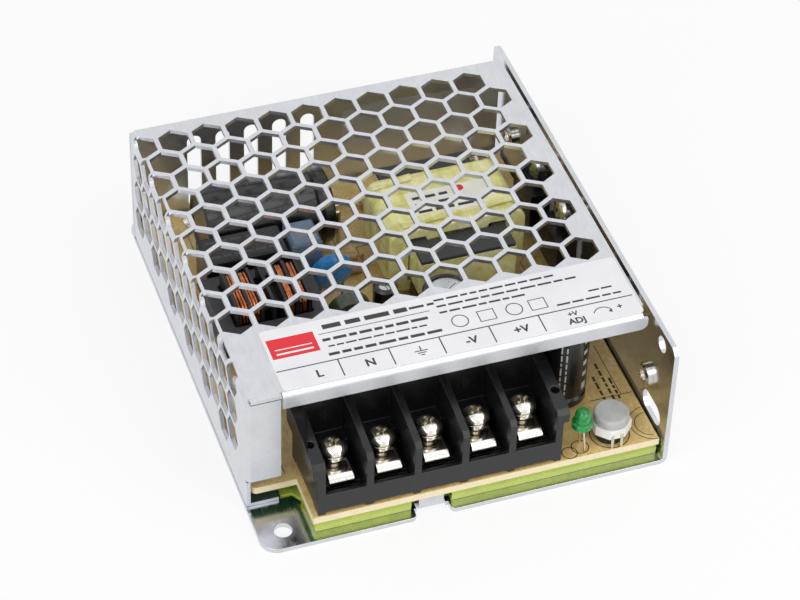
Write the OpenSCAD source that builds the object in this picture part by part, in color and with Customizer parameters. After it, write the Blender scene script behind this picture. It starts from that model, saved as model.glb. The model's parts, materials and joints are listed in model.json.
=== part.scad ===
// Enclosed switching power supply with a perforated cover, in millimetres.
// +X points to the chassis wall, +Y to the rear, +Z up. The terminals are at the front.
// The origin is the centre of the footprint, on the face the case stands on.

/* [Case] */
// Width across the cover's side and the chassis wall
case_w = 82; // [82:1:96]
// Length from the front edge of the base to its rear ear
case_l = 99; // [99:1:115]
// Height over the label
case_h = 30; // [30:0.5:36]
// Thickness of the chassis sheet
chassis_t = 1.0; // [0.8:0.1:1.2]
// Outside radius of the fold between base and wall
chassis_fold_r = 1.6; // [1.4:0.1:2.4]
// Radius of the base's free corners
base_corner_r = 3.5; // [1:0.5:4]
// Radius of the wall's upper corners
wall_corner_r = 2.0; // [0.5:0.5:4]
// Width of the notch in the base's front edge
notch_w = 7.0; // [6:0.5:9]
// Depth of the notch
notch_d = 2.2; // [1.5:0.1:3]
// Distance of the notch's centre from the base's left edge
notch_x = 34.0; // [28:0.5:50]
// Width of the tab that carries the board's front edge
tab_w = 5.1; // [4:0.1:6]

/* [Fixing holes] */
// Diameter of the fixing holes in the base
base_hole_d = 3.5; // [3.2:0.1:4.2]
// Distance of the front hole from the left edge
front_hole_x = 5.0; // [4:0.1:6]
// Distance of the front hole from the front edge
front_hole_y = 4.5; // [4:0.1:6]
// Distance of the rear hole from the right face
rear_hole_x = 9.0; // [6:0.5:30]
// Distance of the rear hole from the rear edge
rear_hole_y = 2.7; // [2.6:0.1:2.8]
// Thread core diameter of the side nuts, for M3
nut_bore_d = 2.5; // [2.4:0.1:2.6]
// Outside diameter of the side nuts
nut_d = 5.0; // [4.6:0.1:5.6]
// How far the side nuts stand inside the wall
nut_h = 2.4; // [1.5:0.1:3]
// Distance of the front side nut from the front edge
nut_front_y = 10.2; // [9:0.1:14]
// Distance between the two side nuts
nut_pitch = 75.6; // [70:0.1:76]
// Height of the side nuts
nut_z = 15.0; // [12:0.5:18]
// Diameter of the upper wall hole
wall_hole_d = 3.5; // [3:0.1:4]
// Length of the wall's slot
wall_slot_l = 8.5; // [6:0.5:9]
// Height of the wall's slot
wall_slot_h = 4.5; // [3:0.5:5]

/* [Cover] */
// Thickness of the cover sheet
cover_t = 0.8; // [0.6:0.1:1.0]
// Outside radius of the cover's folds
cover_fold_r = 1.0; // [1.0:0.1:1.4]
// Distance of the cover's front from the base's front edge
cover_front_y = 11.3; // [11:0.1:13]
// Distance of the cover's rear wall from the base's rear edge
cover_rear_y = 5.0; // [4.9:0.1:6]
// Gap between the cover's right side and the chassis wall
cover_side_gap = 0.7; // [0.5:0.1:1]
// Height of the front lip
lip_h = 3.6; // [2:0.1:5]
// Width of the front flap beside the terminals
flap_w = 6.8; // [5:0.1:7]
// Height of the flap's lower edge above the ground
flap_z = 8.6; // [8:0.1:12]
// Width of the flange that lies on the base
floor_flange_w = 6.6; // [5:0.1:7]
// Height of the side tabs inside the chassis wall
side_tab_h = 6.0; // [5:0.5:7]
// Length of each side tab
side_tab_l = 12.0; // [8:1:14]

/* [Mesh] */
// Distance between hexagon centres in a row
mesh_pitch = 7.05; // [6:0.05:9]
// Width of the web between hexagons
mesh_web = 0.95; // [0.8:0.05:2]
// Rows of hexagons in the top
top_rows = 10; // [4:1:10]
// Rows of hexagons in the side
side_rows = 12; // [4:1:12]
// Height of the lowest hexagons' centres in the side
side_mesh_z = 9.75; // [9:0.05:12]
// Number of slots in the rear wall
rear_slots = 5; // [1:1:8]
// Width of a rear slot
rear_slot_w = 3.0; // [2:0.1:4]
// Distance between rear slots
rear_slot_pitch = 6.1; // [5:0.1:8]

/* [Label] */
// Width of the rating label
label_w = 72.2; // [50:1:72.2]
// Depth of the rating label
label_d = 16.4; // [10:0.1:16.5]
// Thickness of the rating label
label_t = 0.1; // [0.05:0.05:0.2]

/* [Circuit board] */
// Thickness of the board
board_t = 1.6; // [1.0:0.1:1.6]
// Height of the board's underside above the ground
board_z = 4.5; // [4.2:0.1:5]
// Gap between the board's edges and the case
board_gap = 0.6; // [0.4:0.1:1]
// Distance of the board's front edge from the base's front edge
board_front_y = 1.1; // [0.8:0.1:1.5]
// Width of the board's cut-out over the front fixing hole
board_notch_w = 8.9; // [8.5:0.1:9.5]
// Depth of that cut-out
board_notch_d = 10.8; // [10:0.1:11]
// Thickness of the insulation film
film_t = 0.3; // [0.2:0.05:0.4]
// Diameter of the spacers under the board
spacer_d = 5.0; // [4.5:0.5:7]

/* [Terminal block] */
// Number of terminals
terminals = 5; // [2:1:5]
// Distance between terminals
terminal_pitch = 9.5; // [9:0.1:9.5]
// Thickness of the ribs between terminals
rib_t = 1.5; // [1:0.1:2]
// Depth of the block, front to back
block_d = 15.5; // [15:0.5:16]
// Height of the ribs' rear above the board
block_h = 15.1; // [14:0.1:17]
// Height of the front sill above the board
sill_h = 5.2; // [4.5:0.1:5.6]
// Height of the terminal floor above the board
deck_h = 3.3; // [3:0.1:3.5]
// Diameter of the terminal screws
screw_d = 3.0; // [2.5:0.1:3.5]
// Diameter of the screw heads
head_d = 5.6; // [5:0.1:6.5]
// Width of a wire clamp
clamp_w = 5.0; // [4:0.1:6.5]
// How far a screw can close on its wire
clamp_close = 1.1; // [0.5:0.1:1.1]
// How far a screw can open from where it stands
clamp_open = 1.2; // [0.5:0.1:1.5]

/* [Components] */
// Diameter of the indicator's dome
led_d = 3.0; // [2.5:0.1:3.5]
// Diameter of the trimmer's knob
knob_d = 7.0; // [5:0.5:7.5]
// Diameter of the bulk capacitor
bulk_d = 16.0; // [12:0.5:16]
// Length of the bulk capacitor
bulk_l = 27.0; // [20:1:29]
// Diameter of the output capacitors
output_cap_d = 10.0; // [8:0.5:10]
// Width of the transformer's core
core_w = 20.0; // [18:0.5:20]
// Length of the transformer's core
core_l = 30.0; // [28:0.5:30]
// Width of the taped transformer winding
winding_w = 29.0; // [26:0.5:29]
// Diameter of the blue disc capacitor
disc_d = 9.2; // [7:0.1:9.4]
// Length of the line choke's core
choke_l = 22.0; // [20:0.5:22]
// Width of the line choke's core
choke_w = 18.0; // [17:0.5:18]

/* [Hidden] */

$fn = 48;
hole_fn = 64;
wire_fn = 16;
// Gaps between pieces: parts that only sit together, shafts in bores, and flat seats
gap = 0.3;
run_gap = 0.05;
seat_gap = 0.05;
// Extra length that lets a cutter pass right through
cut = 1;

// Case faces
x_left = -case_w / 2;
x_right = case_w / 2;
y_front = -case_l / 2;
y_rear = case_l / 2;
wall_in = x_right - chassis_t;

// Cover faces
cover_top = case_h - label_t;
cover_bottom = chassis_t + seat_gap;
cover_right = wall_in - cover_side_gap;
cover_y0 = y_front + cover_front_y;
cover_y1 = y_rear - cover_rear_y;
seam = 0.2;
lip_x0 = x_left + flap_w + 0.4;
lip_corner_r = 1.5;

// Base features
notch_x0 = x_left + notch_x - notch_w / 2;
tab_x0 = x_left + notch_x - tab_w / 2;
tab_y = y_front + notch_d;
front_hole = [x_left + front_hole_x, y_front + front_hole_y];
rear_hole = [x_right - rear_hole_x, y_rear - rear_hole_y];

// Wall features, as [y, z]
nut_places = [for (i = [0, 1]) [y_front + nut_front_y + i * nut_pitch, nut_z]];
nut_spigot_d = nut_d - 0.8;
wall_hole = [y_front + 5.8, case_h - 3.1];
wall_slot = [y_front + 7.3, 8.6];

// Countersunk screws that hold the cover, M2.5
cover_screw_d = 2.4;
cover_head_d = 4.6;
cover_screw_l = 3.0;
side_tab_z = cover_top - side_tab_h;
side_screws = [for (y = [cover_y0 + 14, cover_y1 - 13]) [y, side_tab_z + 1.9]];
floor_screws = [for (y = [cover_y0 + 12, cover_y1 - 14]) [x_left + floor_flange_w - 3.2, y]];

// Mesh lattice: a row every mesh_step, alternate rows shifted by half a pitch
mesh_step = mesh_pitch * sqrt(3) / 2;
hex_r = (mesh_pitch - mesh_web) / sqrt(3);
mesh_y0 = cover_y1 - 6.2;
mesh_x0 = x_left + 0.9;
mesh_right = cover_right - 2.2;
rear_slot_x0 = x_left + 13.4;
rear_slot_z0 = 8.0;
rear_slot_z1 = case_h - 4.5;

// Board faces
board_top = board_z + board_t;
board_x0 = x_left + cover_t + 0.3;
board_x1 = wall_in - board_gap;
board_y0 = y_front + board_front_y;
board_y1 = cover_y1 - cover_t - board_gap;
tongue_x = board_x0 + board_notch_w;
tongue_y = board_y0 + board_notch_d;
board_r = 1.2;
board_screw_d = 2.9;
rear_spacers = [[board_x0 + 11, board_y1 - 4.2], [board_x1 - 6, board_y1 - 4.2]];
front_spacers = [[tongue_x + 5, tongue_y + 8], [board_x1 - 5.4, board_y0 + 21]];

// Insulation film folded round the tongue's front and side
film_z = chassis_t + seat_gap;
film_x0 = x_left + floor_flange_w + 0.5;
film_x1 = wall_in - board_gap;
film_nose = 0.5;
film_fold_z = film_z + 1.6;

// Terminal block
block_front = board_y0 + 1.4;
block_back = block_front + block_d;
block_x0 = tongue_x + 1.75;
block_foot = 0.6;
block_z = board_top + seat_gap;
deck_z = block_z + deck_h;
bay_w = terminal_pitch - rib_t;
sill_t = 1.0;
end_overhang = 1.1;
function rib_x(i) = block_x0 + i * terminal_pitch;
function bay_x(i) = rib_x(i) + terminal_pitch / 2;
block_end = rib_x(terminals) + rib_t / 2 + end_overhang;
screw_y = block_front + 6.8;
contact_t = 0.8;
contact_w = 5.8;
contact_top = deck_z + contact_t;
pin_d = 1.2;
pin_y = block_back - 3.4;
clamp_t = 0.8;
clamp_z = contact_top + clamp_close + gap;
clamp_top = clamp_z + clamp_t;
clamp_roll_r = 1.6;
clamp_front = block_front + sill_t + gap;
clamp_back = screw_y + 3.0;
groove_z = clamp_z - clamp_close - 1.9;
washer_z = clamp_top + 1.5;
washer_t = 0.7;
head_z = washer_z + washer_t;
head_h = 2.3;
shank_z = block_z + clamp_close + 0.3;

// Indicator and trimmer, measured from the block's end and the board's front edge
led_x = block_end + 3.7;
led_y = board_y0 + 2.5;
led_z = board_top + 4.7;
led_h = 5.6;
trimmer_x = led_x + 6.8;
trimmer_y = board_y0 + 4.2;
trimmer_z = board_top + 2.2;
trimmer_h = 2.1;
knob_h = 1.9;

// Components on the mains side, measured from the board's rear left corner
bulk_x0 = board_x0 + 8.9;
bulk_y = board_y1 - 14.8;
bulk_z = board_top + seat_gap + bulk_d / 2;
mains_cap = [17.4, 7.9, 12.8];
mains_cap_at = [board_x0 + 5.7, bulk_y - bulk_d / 2 - gap - mains_cap[1]];
film_cap = [6.4, 7.4, 13.8];
film_cap_at = [mains_cap_at[0] + mains_cap[0] + gap, mains_cap_at[1] - 0.9];
choke_x0 = board_x0 + 3.9;
choke_y0 = mains_cap_at[1] - 1.2 - choke_w;
choke_z = board_top + 4.4;
choke_bar = 6.0;
choke_leg_w = 5.0;
disc_at = [choke_x0 + choke_l + gap + disc_d / 2, film_cap_at[1] - 2.2];
fuse_x = board_x0 + 4.2;
fuse_y = choke_y0 - 17;

// Output choke, a ring wound with one layer of wire
output_choke_r = 5.4;
output_choke_hole = 2.6;
output_choke_h = 5.0;
output_choke_wire = 0.9;
output_choke_z = board_top + output_choke_wire + 0.1;

// Transformer and output side, measured from the board's right and rear edges
trans_x = board_x1 - 23.4;
trans_y = board_y1 - 30.8;
core_bar = 6.3;
core_leg = 3.0;
core_z = board_top + 5.0;
core_h = 10.5;
winding_h = 16.0;
output_caps = [
    [block_end + 0.4 + output_cap_d / 2, block_back + 0.9, 20],
    [trans_x - 7.6, trans_y - core_l / 2 - 8.4, 15]
];
control_cap_d = 5.0;
control_cap_at = [trans_x - winding_w / 2 - 0.4 - control_cap_d / 2, trans_y - 14.5];
output_choke_at = [
    output_caps[1][0] + output_cap_d / 2 + output_choke_r + output_choke_wire + 0.5,
    output_caps[0][1] + output_cap_d / 2 + output_choke_r + output_choke_wire - 0.8
];
device_places = [for (back = [33.3, 18.3]) nut_places[1][0] - back];
device_t = 4.4;
device_w = 10.0;
tab_t = 1.3;
pad_t = 0.3;
device_screw_z = board_top + 15.4;
device_screw_d = 2.9;

// ---- Shared shapes ----

// A box between two opposite corners
module block(from, to) {
    translate(from) cube(to - from);
}

// A rectangle between two opposite corners
module rect(from, to) {
    translate(from) square(to - from);
}

// One quarter of a bent sheet's section; turn says which quarter of the ring it is
module bend(r, t, turn) {
    rotate(turn * 90) intersection() {
        difference() {
            circle(r);
            circle(r - t);
        }
        square(r);
    }
}

// Cuts an outside corner at the origin round; the sheet lies towards -x and -y
module corner_cutter(r) {
    difference() {
        translate([-r, -r]) square(r + cut);
        translate([-r, -r]) circle(r, $fn = hole_fn);
    }
}

// Rectangle with four round corners
module round_rect(from, to, r) {
    rect([from[0] + r, from[1]], [to[0] - r, to[1]]);
    rect([from[0], from[1] + r], [to[0], to[1] - r]);
    for (x = [from[0] + r, to[0] - r], y = [from[1] + r, to[1] - r])
        translate([x, y]) circle(r);
}

// Extrudes a section drawn in X and Z along Y
module along_y(y0, y1) {
    translate([0, y1, 0]) rotate([90, 0, 0]) linear_extrude(y1 - y0) children();
}

// Extrudes a section drawn in Y and Z along X
module along_x(x0, x1) {
    translate([x0, 0, 0]) rotate([90, 0, 90]) linear_extrude(x1 - x0) children();
}

// A round bar along X, at [y, z]
module bar_x(at, d, x0, x1) {
    along_x(x0, x1) translate(at) circle(d = d, $fn = hole_fn);
}

// A round wire through a short list of points, with round elbows
module wire(points, d) {
    for (i = [0:len(points) - 2]) {
        run = points[i + 1] - points[i];
        length = norm(run);
        translate(points[i]) rotate([0, acos(run[2] / length), atan2(run[1], run[0])])
            cylinder(d = d, h = length, $fn = wire_fn);
        if (i > 0) translate(points[i]) sphere(d = d, $fn = wire_fn);
    }
}

// ---- Case ----

// Base, fold and wall as one section
module chassis_section() {
    r = chassis_fold_r;
    rect([x_left, 0], [x_right - r, chassis_t]);
    translate([x_right - r, r]) bend(r, chassis_t, 3);
    rect([wall_in, r], [x_right, case_h]);
}

// Tab that stands up behind the notch and carries the board's front edge
module support_tab_section() {
    r = chassis_t + 0.3;
    translate([tab_y + r, r]) bend(r, chassis_t, 2);
    rect([tab_y, r], [tab_y + chassis_t, board_z - seat_gap]);
}

module base_cutters() {
    linear_extrude(3 * cut + chassis_t, center = true) {
        rect([notch_x0, y_front - cut], [notch_x0 + notch_w, tab_y]);
        rect([tab_x0 - 0.4, tab_y - cut], [tab_x0 + tab_w + 0.4, tab_y + chassis_t + 0.3]);
        for (place = [front_hole, rear_hole])
            translate(place) circle(d = base_hole_d, $fn = hole_fn);
        translate([x_left, y_front]) rotate(180) corner_cutter(base_corner_r);
        translate([x_left, y_rear]) rotate(90) corner_cutter(base_corner_r);
        translate([notch_x0, y_front]) rotate(270) corner_cutter(1);
        translate([notch_x0 + notch_w, y_front]) rotate(180) corner_cutter(1);
    }
    for (place = floor_screws)
        translate([place[0], place[1], 0]) countersink();
}

module wall_cutters() {
    along_x(wall_in - cut, x_right + cut) {
        for (place = nut_places)
            translate(place) circle(d = nut_spigot_d, $fn = hole_fn);
        translate(wall_hole) circle(d = wall_hole_d, $fn = hole_fn);
        for (side = [-1, 1])
            translate([wall_slot[0] + side * (wall_slot_l - wall_slot_h) / 2, wall_slot[1]])
                circle(d = wall_slot_h, $fn = hole_fn);
        rect(wall_slot - [wall_slot_l - wall_slot_h, wall_slot_h] / 2,
             wall_slot + [wall_slot_l - wall_slot_h, wall_slot_h] / 2);
        for (y = device_places)
            translate([y, device_screw_z]) circle(d = device_screw_d + 2 * run_gap, $fn = hole_fn);
        translate([y_front, case_h]) rotate(90) corner_cutter(wall_corner_r);
        translate([y_rear, case_h]) corner_cutter(wall_corner_r);
    }
    for (place = side_screws)
        translate([x_right, place[0], place[1]]) rotate([0, -90, 0]) countersink();
}

// Flat-head seat through the chassis sheet, opening at z = 0
module countersink() {
    translate([0, 0, -0.001])
        cylinder(d1 = cover_head_d + 2 * run_gap, d2 = cover_screw_d + 4 * run_gap, h = chassis_t, $fn = hole_fn);
    translate([0, 0, chassis_t / 2])
        cylinder(d = cover_screw_d + 4 * run_gap, h = chassis_t, $fn = hole_fn);
}

module chassis() {
    color("gainsboro") difference() {
        union() {
            difference() {
                along_y(y_front, y_rear) chassis_section();
                base_cutters();
            }
            along_x(tab_x0, tab_x0 + tab_w) {
                support_tab_section();
                rect([tab_y + chassis_t + 0.3, 0], [tab_y + chassis_t + 0.4, chassis_t]);
            }
        }
        wall_cutters();
    }
}

// Clinch nuts for fixing the case by its side
module side_nuts() {
    color("silver") for (place = nut_places) difference() {
        union() {
            bar_x(place, nut_d, wall_in - nut_h, wall_in);
            bar_x(place, nut_spigot_d - 2 * run_gap, wall_in, x_right);
        }
        bar_x(place, nut_bore_d, wall_in - nut_h - cut, x_right + cut);
    }
}

// ---- Cover ----

// Side, top and floor flange as one section; z0 is where the sheet starts
module cover_side_section() {
    r = cover_fold_r;
    t = cover_t;
    translate([x_left + r, cover_top - r]) bend(r, t, 1);
    rect([x_left, cover_bottom + r], [x_left + t, cover_top - r]);
    translate([x_left + r, cover_bottom + r]) bend(r, t, 2);
    rect([x_left + r, cover_bottom], [x_left + floor_flange_w, cover_bottom + t]);
}

// Tab inside the chassis wall, folded down from the top
module cover_tab_section() {
    translate([cover_right - cover_fold_r, cover_top - cover_fold_r]) bend(cover_fold_r, cover_t, 0);
    rect([cover_right - cover_t, side_tab_z], [cover_right, cover_top - cover_fold_r]);
}

module cover_top_plate() {
    r = cover_fold_r;
    translate([0, 0, cover_top - cover_t]) linear_extrude(cover_t) {
        rect([x_left + r, cover_y0 + r], [cover_right - r, cover_y1 - r]);
        rect([x_left + r, cover_y0], [lip_x0 - 0.3, cover_y0 + r]);
        rect([cover_right - r, cover_y0 + 3], [cover_right, cover_y1 - 1]);
    }
}

module cover_rear_wall() {
    r = cover_fold_r;
    t = cover_t;
    along_x(x_left + r, cover_right)
        translate([cover_y1 - r, cover_top - r]) bend(r, t, 0);
    along_y(cover_y1 - t, cover_y1) difference() {
        rect([x_left, cover_bottom], [cover_right, cover_top - r]);
        for (i = [0:rear_slots - 1])
            translate([rear_slot_x0 + i * rear_slot_pitch, 0]) {
                rect([-rear_slot_w / 2, rear_slot_z0], [rear_slot_w / 2, rear_slot_z1 - rear_slot_w / 2]);
                translate([0, rear_slot_z1 - rear_slot_w / 2]) circle(d = rear_slot_w);
                translate([0, rear_slot_z0]) circle(d = rear_slot_w);
            }
    }
}

module cover_front() {
    r = cover_fold_r;
    t = cover_t;
    along_x(lip_x0, cover_right - 1)
        translate([cover_y0 + r, cover_top - r]) bend(r, t, 1);
    along_y(cover_y0, cover_y0 + t) difference() {
        rect([lip_x0, cover_top - lip_h], [cover_right, cover_top - r]);
        translate([cover_right, cover_top - lip_h]) rotate(270) corner_cutter(lip_corner_r);
    }
    translate([0, 0, flap_z]) linear_extrude(cover_top - t - seam - flap_z) {
        translate([x_left + r, cover_y0 + r]) bend(r, t, 2);
        rect([x_left + r, cover_y0], [x_left + flap_w, cover_y0 + t]);
    }
}

// One row of the mesh, drawn along x; row gives the half-pitch shift
module mesh_row(start, count) {
    for (i = [0:count - 1])
        translate([start + i * mesh_pitch, 0]) rotate(90) circle(hex_r, $fn = 6);
}

module top_mesh() {
    for (row = [0:top_rows - 1]) {
        start = mesh_x0 + (row % 2) * mesh_pitch / 2;
        count = 1 + floor((mesh_right - start) / mesh_pitch);
        translate([0, mesh_y0 - row * mesh_step]) mesh_row(start, count);
    }
}

// Drawn in Y and Z; the even rows run up into the fold
module side_mesh() {
    for (row = [0:side_rows - 1]) {
        start = side_mesh_z + (row % 2) * mesh_pitch / 2;
        count = 1 + floor((cover_top + 1.5 - start) / mesh_pitch);
        translate([mesh_y0 - row * mesh_step, 0]) rotate(90) mirror([0, 1]) mesh_row(start, count);
    }
}

module cover() {
    r = cover_fold_r;
    color("silver") difference() {
        union() {
            along_y(cover_y0 + r, cover_y1 - cover_t - seam) cover_side_section();
            cover_top_plate();
            cover_rear_wall();
            cover_front();
            block([x_left, cover_y0 + 0.3, cover_bottom + r], [x_left + cover_t, cover_y0 + r, flap_z - 0.2]);
            for (place = side_screws)
                along_y(place[0] - side_tab_l / 2, place[0] + side_tab_l / 2) cover_tab_section();
        }
        translate([0, 0, cover_top - cover_t - 0.1]) linear_extrude(cover_t + cut) top_mesh();
        along_x(x_left - cut, x_left + cover_t + 0.1) side_mesh();
        for (place = side_screws)
            bar_x(place, cover_screw_d + 2 * run_gap, cover_right - cover_t - cut, cover_right + cut);
        for (place = floor_screws)
            translate([place[0], place[1], cover_bottom - cut])
                cylinder(d = cover_screw_d + 2 * run_gap, h = cover_t + 2 * cut, $fn = hole_fn);
    }
}

// Countersunk screw, head flush at z = 0, pointing up
module cover_screw() {
    difference() {
        union() {
            cylinder(d1 = cover_head_d, d2 = cover_screw_d, h = chassis_t);
            cylinder(d = cover_screw_d, h = cover_screw_l);
        }
        for (turn = [0, 90])
            rotate(turn) translate([0, 0, 0.2]) cube([2.2, 0.5, 1], center = true);
    }
}

module cover_screws() {
    color("darkgray") {
        for (place = side_screws)
            translate([x_right, place[0], place[1]]) rotate([0, -90, 0]) cover_screw();
        for (place = floor_screws)
            translate([place[0], place[1], 0]) cover_screw();
    }
}

module label() {
    label_x0 = x_left + 7.6;
    label_y0 = cover_y0 + cover_fold_r;
    color("white") translate([0, 0, cover_top]) linear_extrude(label_t)
        round_rect([label_x0, label_y0], [label_x0 + label_w, label_y0 + label_d], 0.8);
}

// ---- Board, film and spacers ----

// Outline of the film's flat part, with clearance for the flange and the spacers
module film_outline() {
    difference() {
        union() {
            rect([film_x0, tongue_y + 1], [film_x1, board_y1]);
            rect([tongue_x - 0.6, board_y0 - 0.4], [film_x1, tongue_y + 1]);
        }
        for (place = concat(rear_spacers, front_spacers))
            translate(place) circle(d = spacer_d + 2 * gap);
        rect([notch_x0 - 0.6, y_front - cut], [notch_x0 + notch_w + 0.6, tab_y + chassis_t + 0.8]);
    }
}

// Solid that bulges by film_nose at the fold, inset by d for the inner face
module film_bulge(d) {
    back = tongue_y - 1;
    x0 = tongue_x - 0.6;
    y0 = board_y0 - 0.4;
    top = board_z - seat_gap;
    hull() {
        block([x0 + d, y0 + d, film_z + d], [film_x1, back, film_z + d + 0.01]);
        block([x0 - film_nose + d, y0 - film_nose + d, film_fold_z], [film_x1, back, film_fold_z + 0.01]);
        block([x0 + film_nose + d, y0 + film_nose + d, top - d], [film_x1, back, top - d + 0.01]);
    }
}

module insulation_film() {
    color("yellowgreen") {
        translate([0, 0, film_z]) linear_extrude(film_t) film_outline();
        difference() {
            film_bulge(0);
            film_bulge(film_t);
            block([tongue_x + 4, board_y0 + 4, 0], [x_right, y_rear, board_z + cut]);
            block([film_x1 - 0.001, y_front - cut, 0], [x_right, y_rear, board_z + cut]);
            block([notch_x0 - 0.6, y_front - cut, 0], [notch_x0 + notch_w + 0.6, y_rear, board_z + cut]);
            block([x_left, tongue_y - 1.001, 0], [x_right, y_rear, board_z + cut]);
        }
    }
}

module board_spacers() {
    color("silver") {
        for (place = front_spacers)
            translate([place[0], place[1], chassis_t]) cylinder(d = spacer_d, h = board_z - chassis_t);
        for (place = rear_spacers)
            translate([place[0], place[1], chassis_t]) difference() {
                cylinder(d = spacer_d, h = board_z - chassis_t);
                translate([0, 0, 0.6]) cylinder(d = board_screw_d + 2 * run_gap, h = board_z, $fn = hole_fn);
            }
    }
}

module circuit_board() {
    color("tan") translate([0, 0, board_z]) linear_extrude(board_t) difference() {
        union() {
            round_rect([board_x0, tongue_y], [board_x1, board_y1], board_r);
            rect([board_x0 + 4, tongue_y], [board_x1, tongue_y + 4]);
            rect([tongue_x, board_y0], [board_x1, tongue_y + 4]);
        }
        for (place = rear_spacers)
            translate(place) circle(d = board_screw_d + 2 * gap, $fn = hole_fn);
        for (i = [0:terminals - 1])
            translate([bay_x(i), pin_y]) circle(d = pin_d + 2 * gap);
    }
}

module board_screws() {
    color("silver") for (place = rear_spacers)
        translate([place[0], place[1], board_top]) pan_screw(board_screw_d, 5.4, 1.8, board_t + 2.4);
}

// Pan-head screw, head resting on z = 0, with a cross recess
module pan_screw(d, head, height, length) {
    difference() {
        union() {
            rotate_extrude() intersection() {
                translate([0, height - head * 0.9]) circle(head * 0.9, $fn = 96);
                square([head / 2, height]);
            }
            translate([0, 0, -length]) cylinder(d = d, h = length + 0.1);
        }
        for (turn = [0, 90])
            rotate(turn) translate([0, 0, height]) cube([head * 0.58, head * 0.15, height * 1.1], center = true);
    }
}

// ---- Terminal block ----

// Side view of a rib, in Y and Z: a steep nose, then a long gentle rise to the back
module rib_section() {
    nose_h = block_h - 2.9;
    polygon([
        [block_front, block_z + block_foot],
        [block_front, block_z + nose_h],
        [block_front + 0.8, block_z + nose_h + 1],
        [block_front + 11, block_z + block_h],
        [block_back, block_z + block_h],
        [block_back, block_z + block_foot]
    ]);
}

module block_body() {
    for (i = [0:terminals])
        along_x(rib_x(i) - rib_t / 2, rib_x(i) + rib_t / 2) rib_section();
    along_x(rib_x(0), rib_x(terminals)) {
        rect([block_front, block_z + block_foot], [block_front + sill_t, block_z + sill_h]);
        rect([block_front + sill_t, block_z + block_foot], [clamp_front + clamp_t + 2 * gap, groove_z]);
        rect([clamp_front + clamp_t + 2 * gap, block_z + block_foot], [block_back, deck_z]);
        rect([block_back - 5.2, deck_z], [block_back, deck_z + 3.4]);
        rect([block_back - 1.8, deck_z], [block_back, block_z + block_h]);
    }
}

// The end walls are thicker at the top and lean outwards over the side
module block_ends() {
    for (side = [0, 1]) {
        x = side == 0 ? rib_x(0) - rib_t / 2 - end_overhang : rib_x(terminals) + rib_t / 2;
        along_x(x, x + end_overhang) intersection() {
            rib_section();
            rect([block_front, block_z + block_h - 5], [block_back, block_z + block_h]);
        }
    }
}

module block_feet() {
    for (i = [0:terminals], y = [block_front, block_back - 2])
        block([rib_x(i) - rib_t / 2, y, block_z], [rib_x(i) + rib_t / 2, y + 2, block_z + block_foot]);
}

module terminal_block() {
    color([0.12, 0.12, 0.13]) difference() {
        union() {
            block_body();
            block_ends();
            block_feet();
        }
        for (i = [0:terminals - 1]) {
            translate([bay_x(i), screw_y, 0]) cylinder(d = screw_d + 1.2, h = deck_z + cut);
            translate([bay_x(i), pin_y, 0]) cylinder(d = pin_d + 2 * gap, h = deck_z + cut);
            block([bay_x(i) - contact_w / 2 - 0.1, screw_y, deck_z], [bay_x(i) + contact_w / 2 + 0.1,
                pin_y + pin_d, contact_top + 0.1]);
        }
        for (side = [0, 1], y = [4.4, 8.4])
            translate([side == 0 ? rib_x(0) - rib_t / 2 : rib_x(terminals) + rib_t / 2,
                block_front + y, block_z + block_h - 3]) cylinder(d = 1.6, h = 4);
    }
}

// Tapped plate under each clamp, with its pin through the board
module terminal_contacts() {
    color("khaki") for (i = [0:terminals - 1]) {
        difference() {
            block([bay_x(i) - contact_w / 2, clamp_front + clamp_t + 2 * gap, deck_z],
                [bay_x(i) + contact_w / 2, pin_y + pin_d / 2, contact_top]);
            translate([bay_x(i), screw_y, deck_z - cut])
                cylinder(d = screw_d + 2 * run_gap, h = contact_t + 2 * cut, $fn = hole_fn);
        }
        translate([bay_x(i), pin_y, board_z - 1.2]) cylinder(d = pin_d, h = deck_z - board_z + 1.2 + contact_t / 2);
    }
}

// Wire clamp: a plate whose front edge rolls down in front of the contact
module wire_clamp(i) {
    if (i < terminals) color("silver") difference() {
        along_x(bay_x(i) - clamp_w / 2, bay_x(i) + clamp_w / 2) {
            translate([clamp_front + clamp_roll_r, clamp_top - clamp_roll_r]) bend(clamp_roll_r, clamp_t, 1);
            rect([clamp_front, clamp_top - clamp_roll_r - 0.5], [clamp_front + clamp_t, clamp_top - clamp_roll_r]);
            rect([clamp_front + clamp_roll_r, clamp_z], [clamp_back, clamp_top]);
        }
        translate([bay_x(i), screw_y, clamp_z - cut])
            cylinder(d = screw_d + 4 * run_gap, h = clamp_t + 2 * cut, $fn = hole_fn);
    }
}

// Pan-head terminal screw with its captive spring washer
module terminal_screw(i) {
    if (i < terminals) color("lightgray") translate([bay_x(i), screw_y, head_z]) {
        pan_screw(screw_d, head_d, head_h, head_z - shank_z);
        translate([0, 0, -washer_t]) cylinder(d = head_d - 0.8, h = washer_t);
    }
}

// ---- Indicator and trimmer ----

module indicator_led() {
    flange_d = led_d + 0.9;
    color("limegreen") translate([led_x, led_y, led_z]) rotate_extrude() {
        square([flange_d / 2, 1]);
        square([led_d / 2, led_h - led_d / 2]);
        intersection() {
            translate([0, led_h - led_d / 2]) circle(d = led_d);
            square([led_d, led_h]);
        }
    }
}

module led_leads() {
    color("silver") for (side = [-1, 1])
        translate([led_x, led_y + side * 1.27, board_top])
            cylinder(d = 0.5, h = led_z - board_top, $fn = wire_fn);
}

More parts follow.
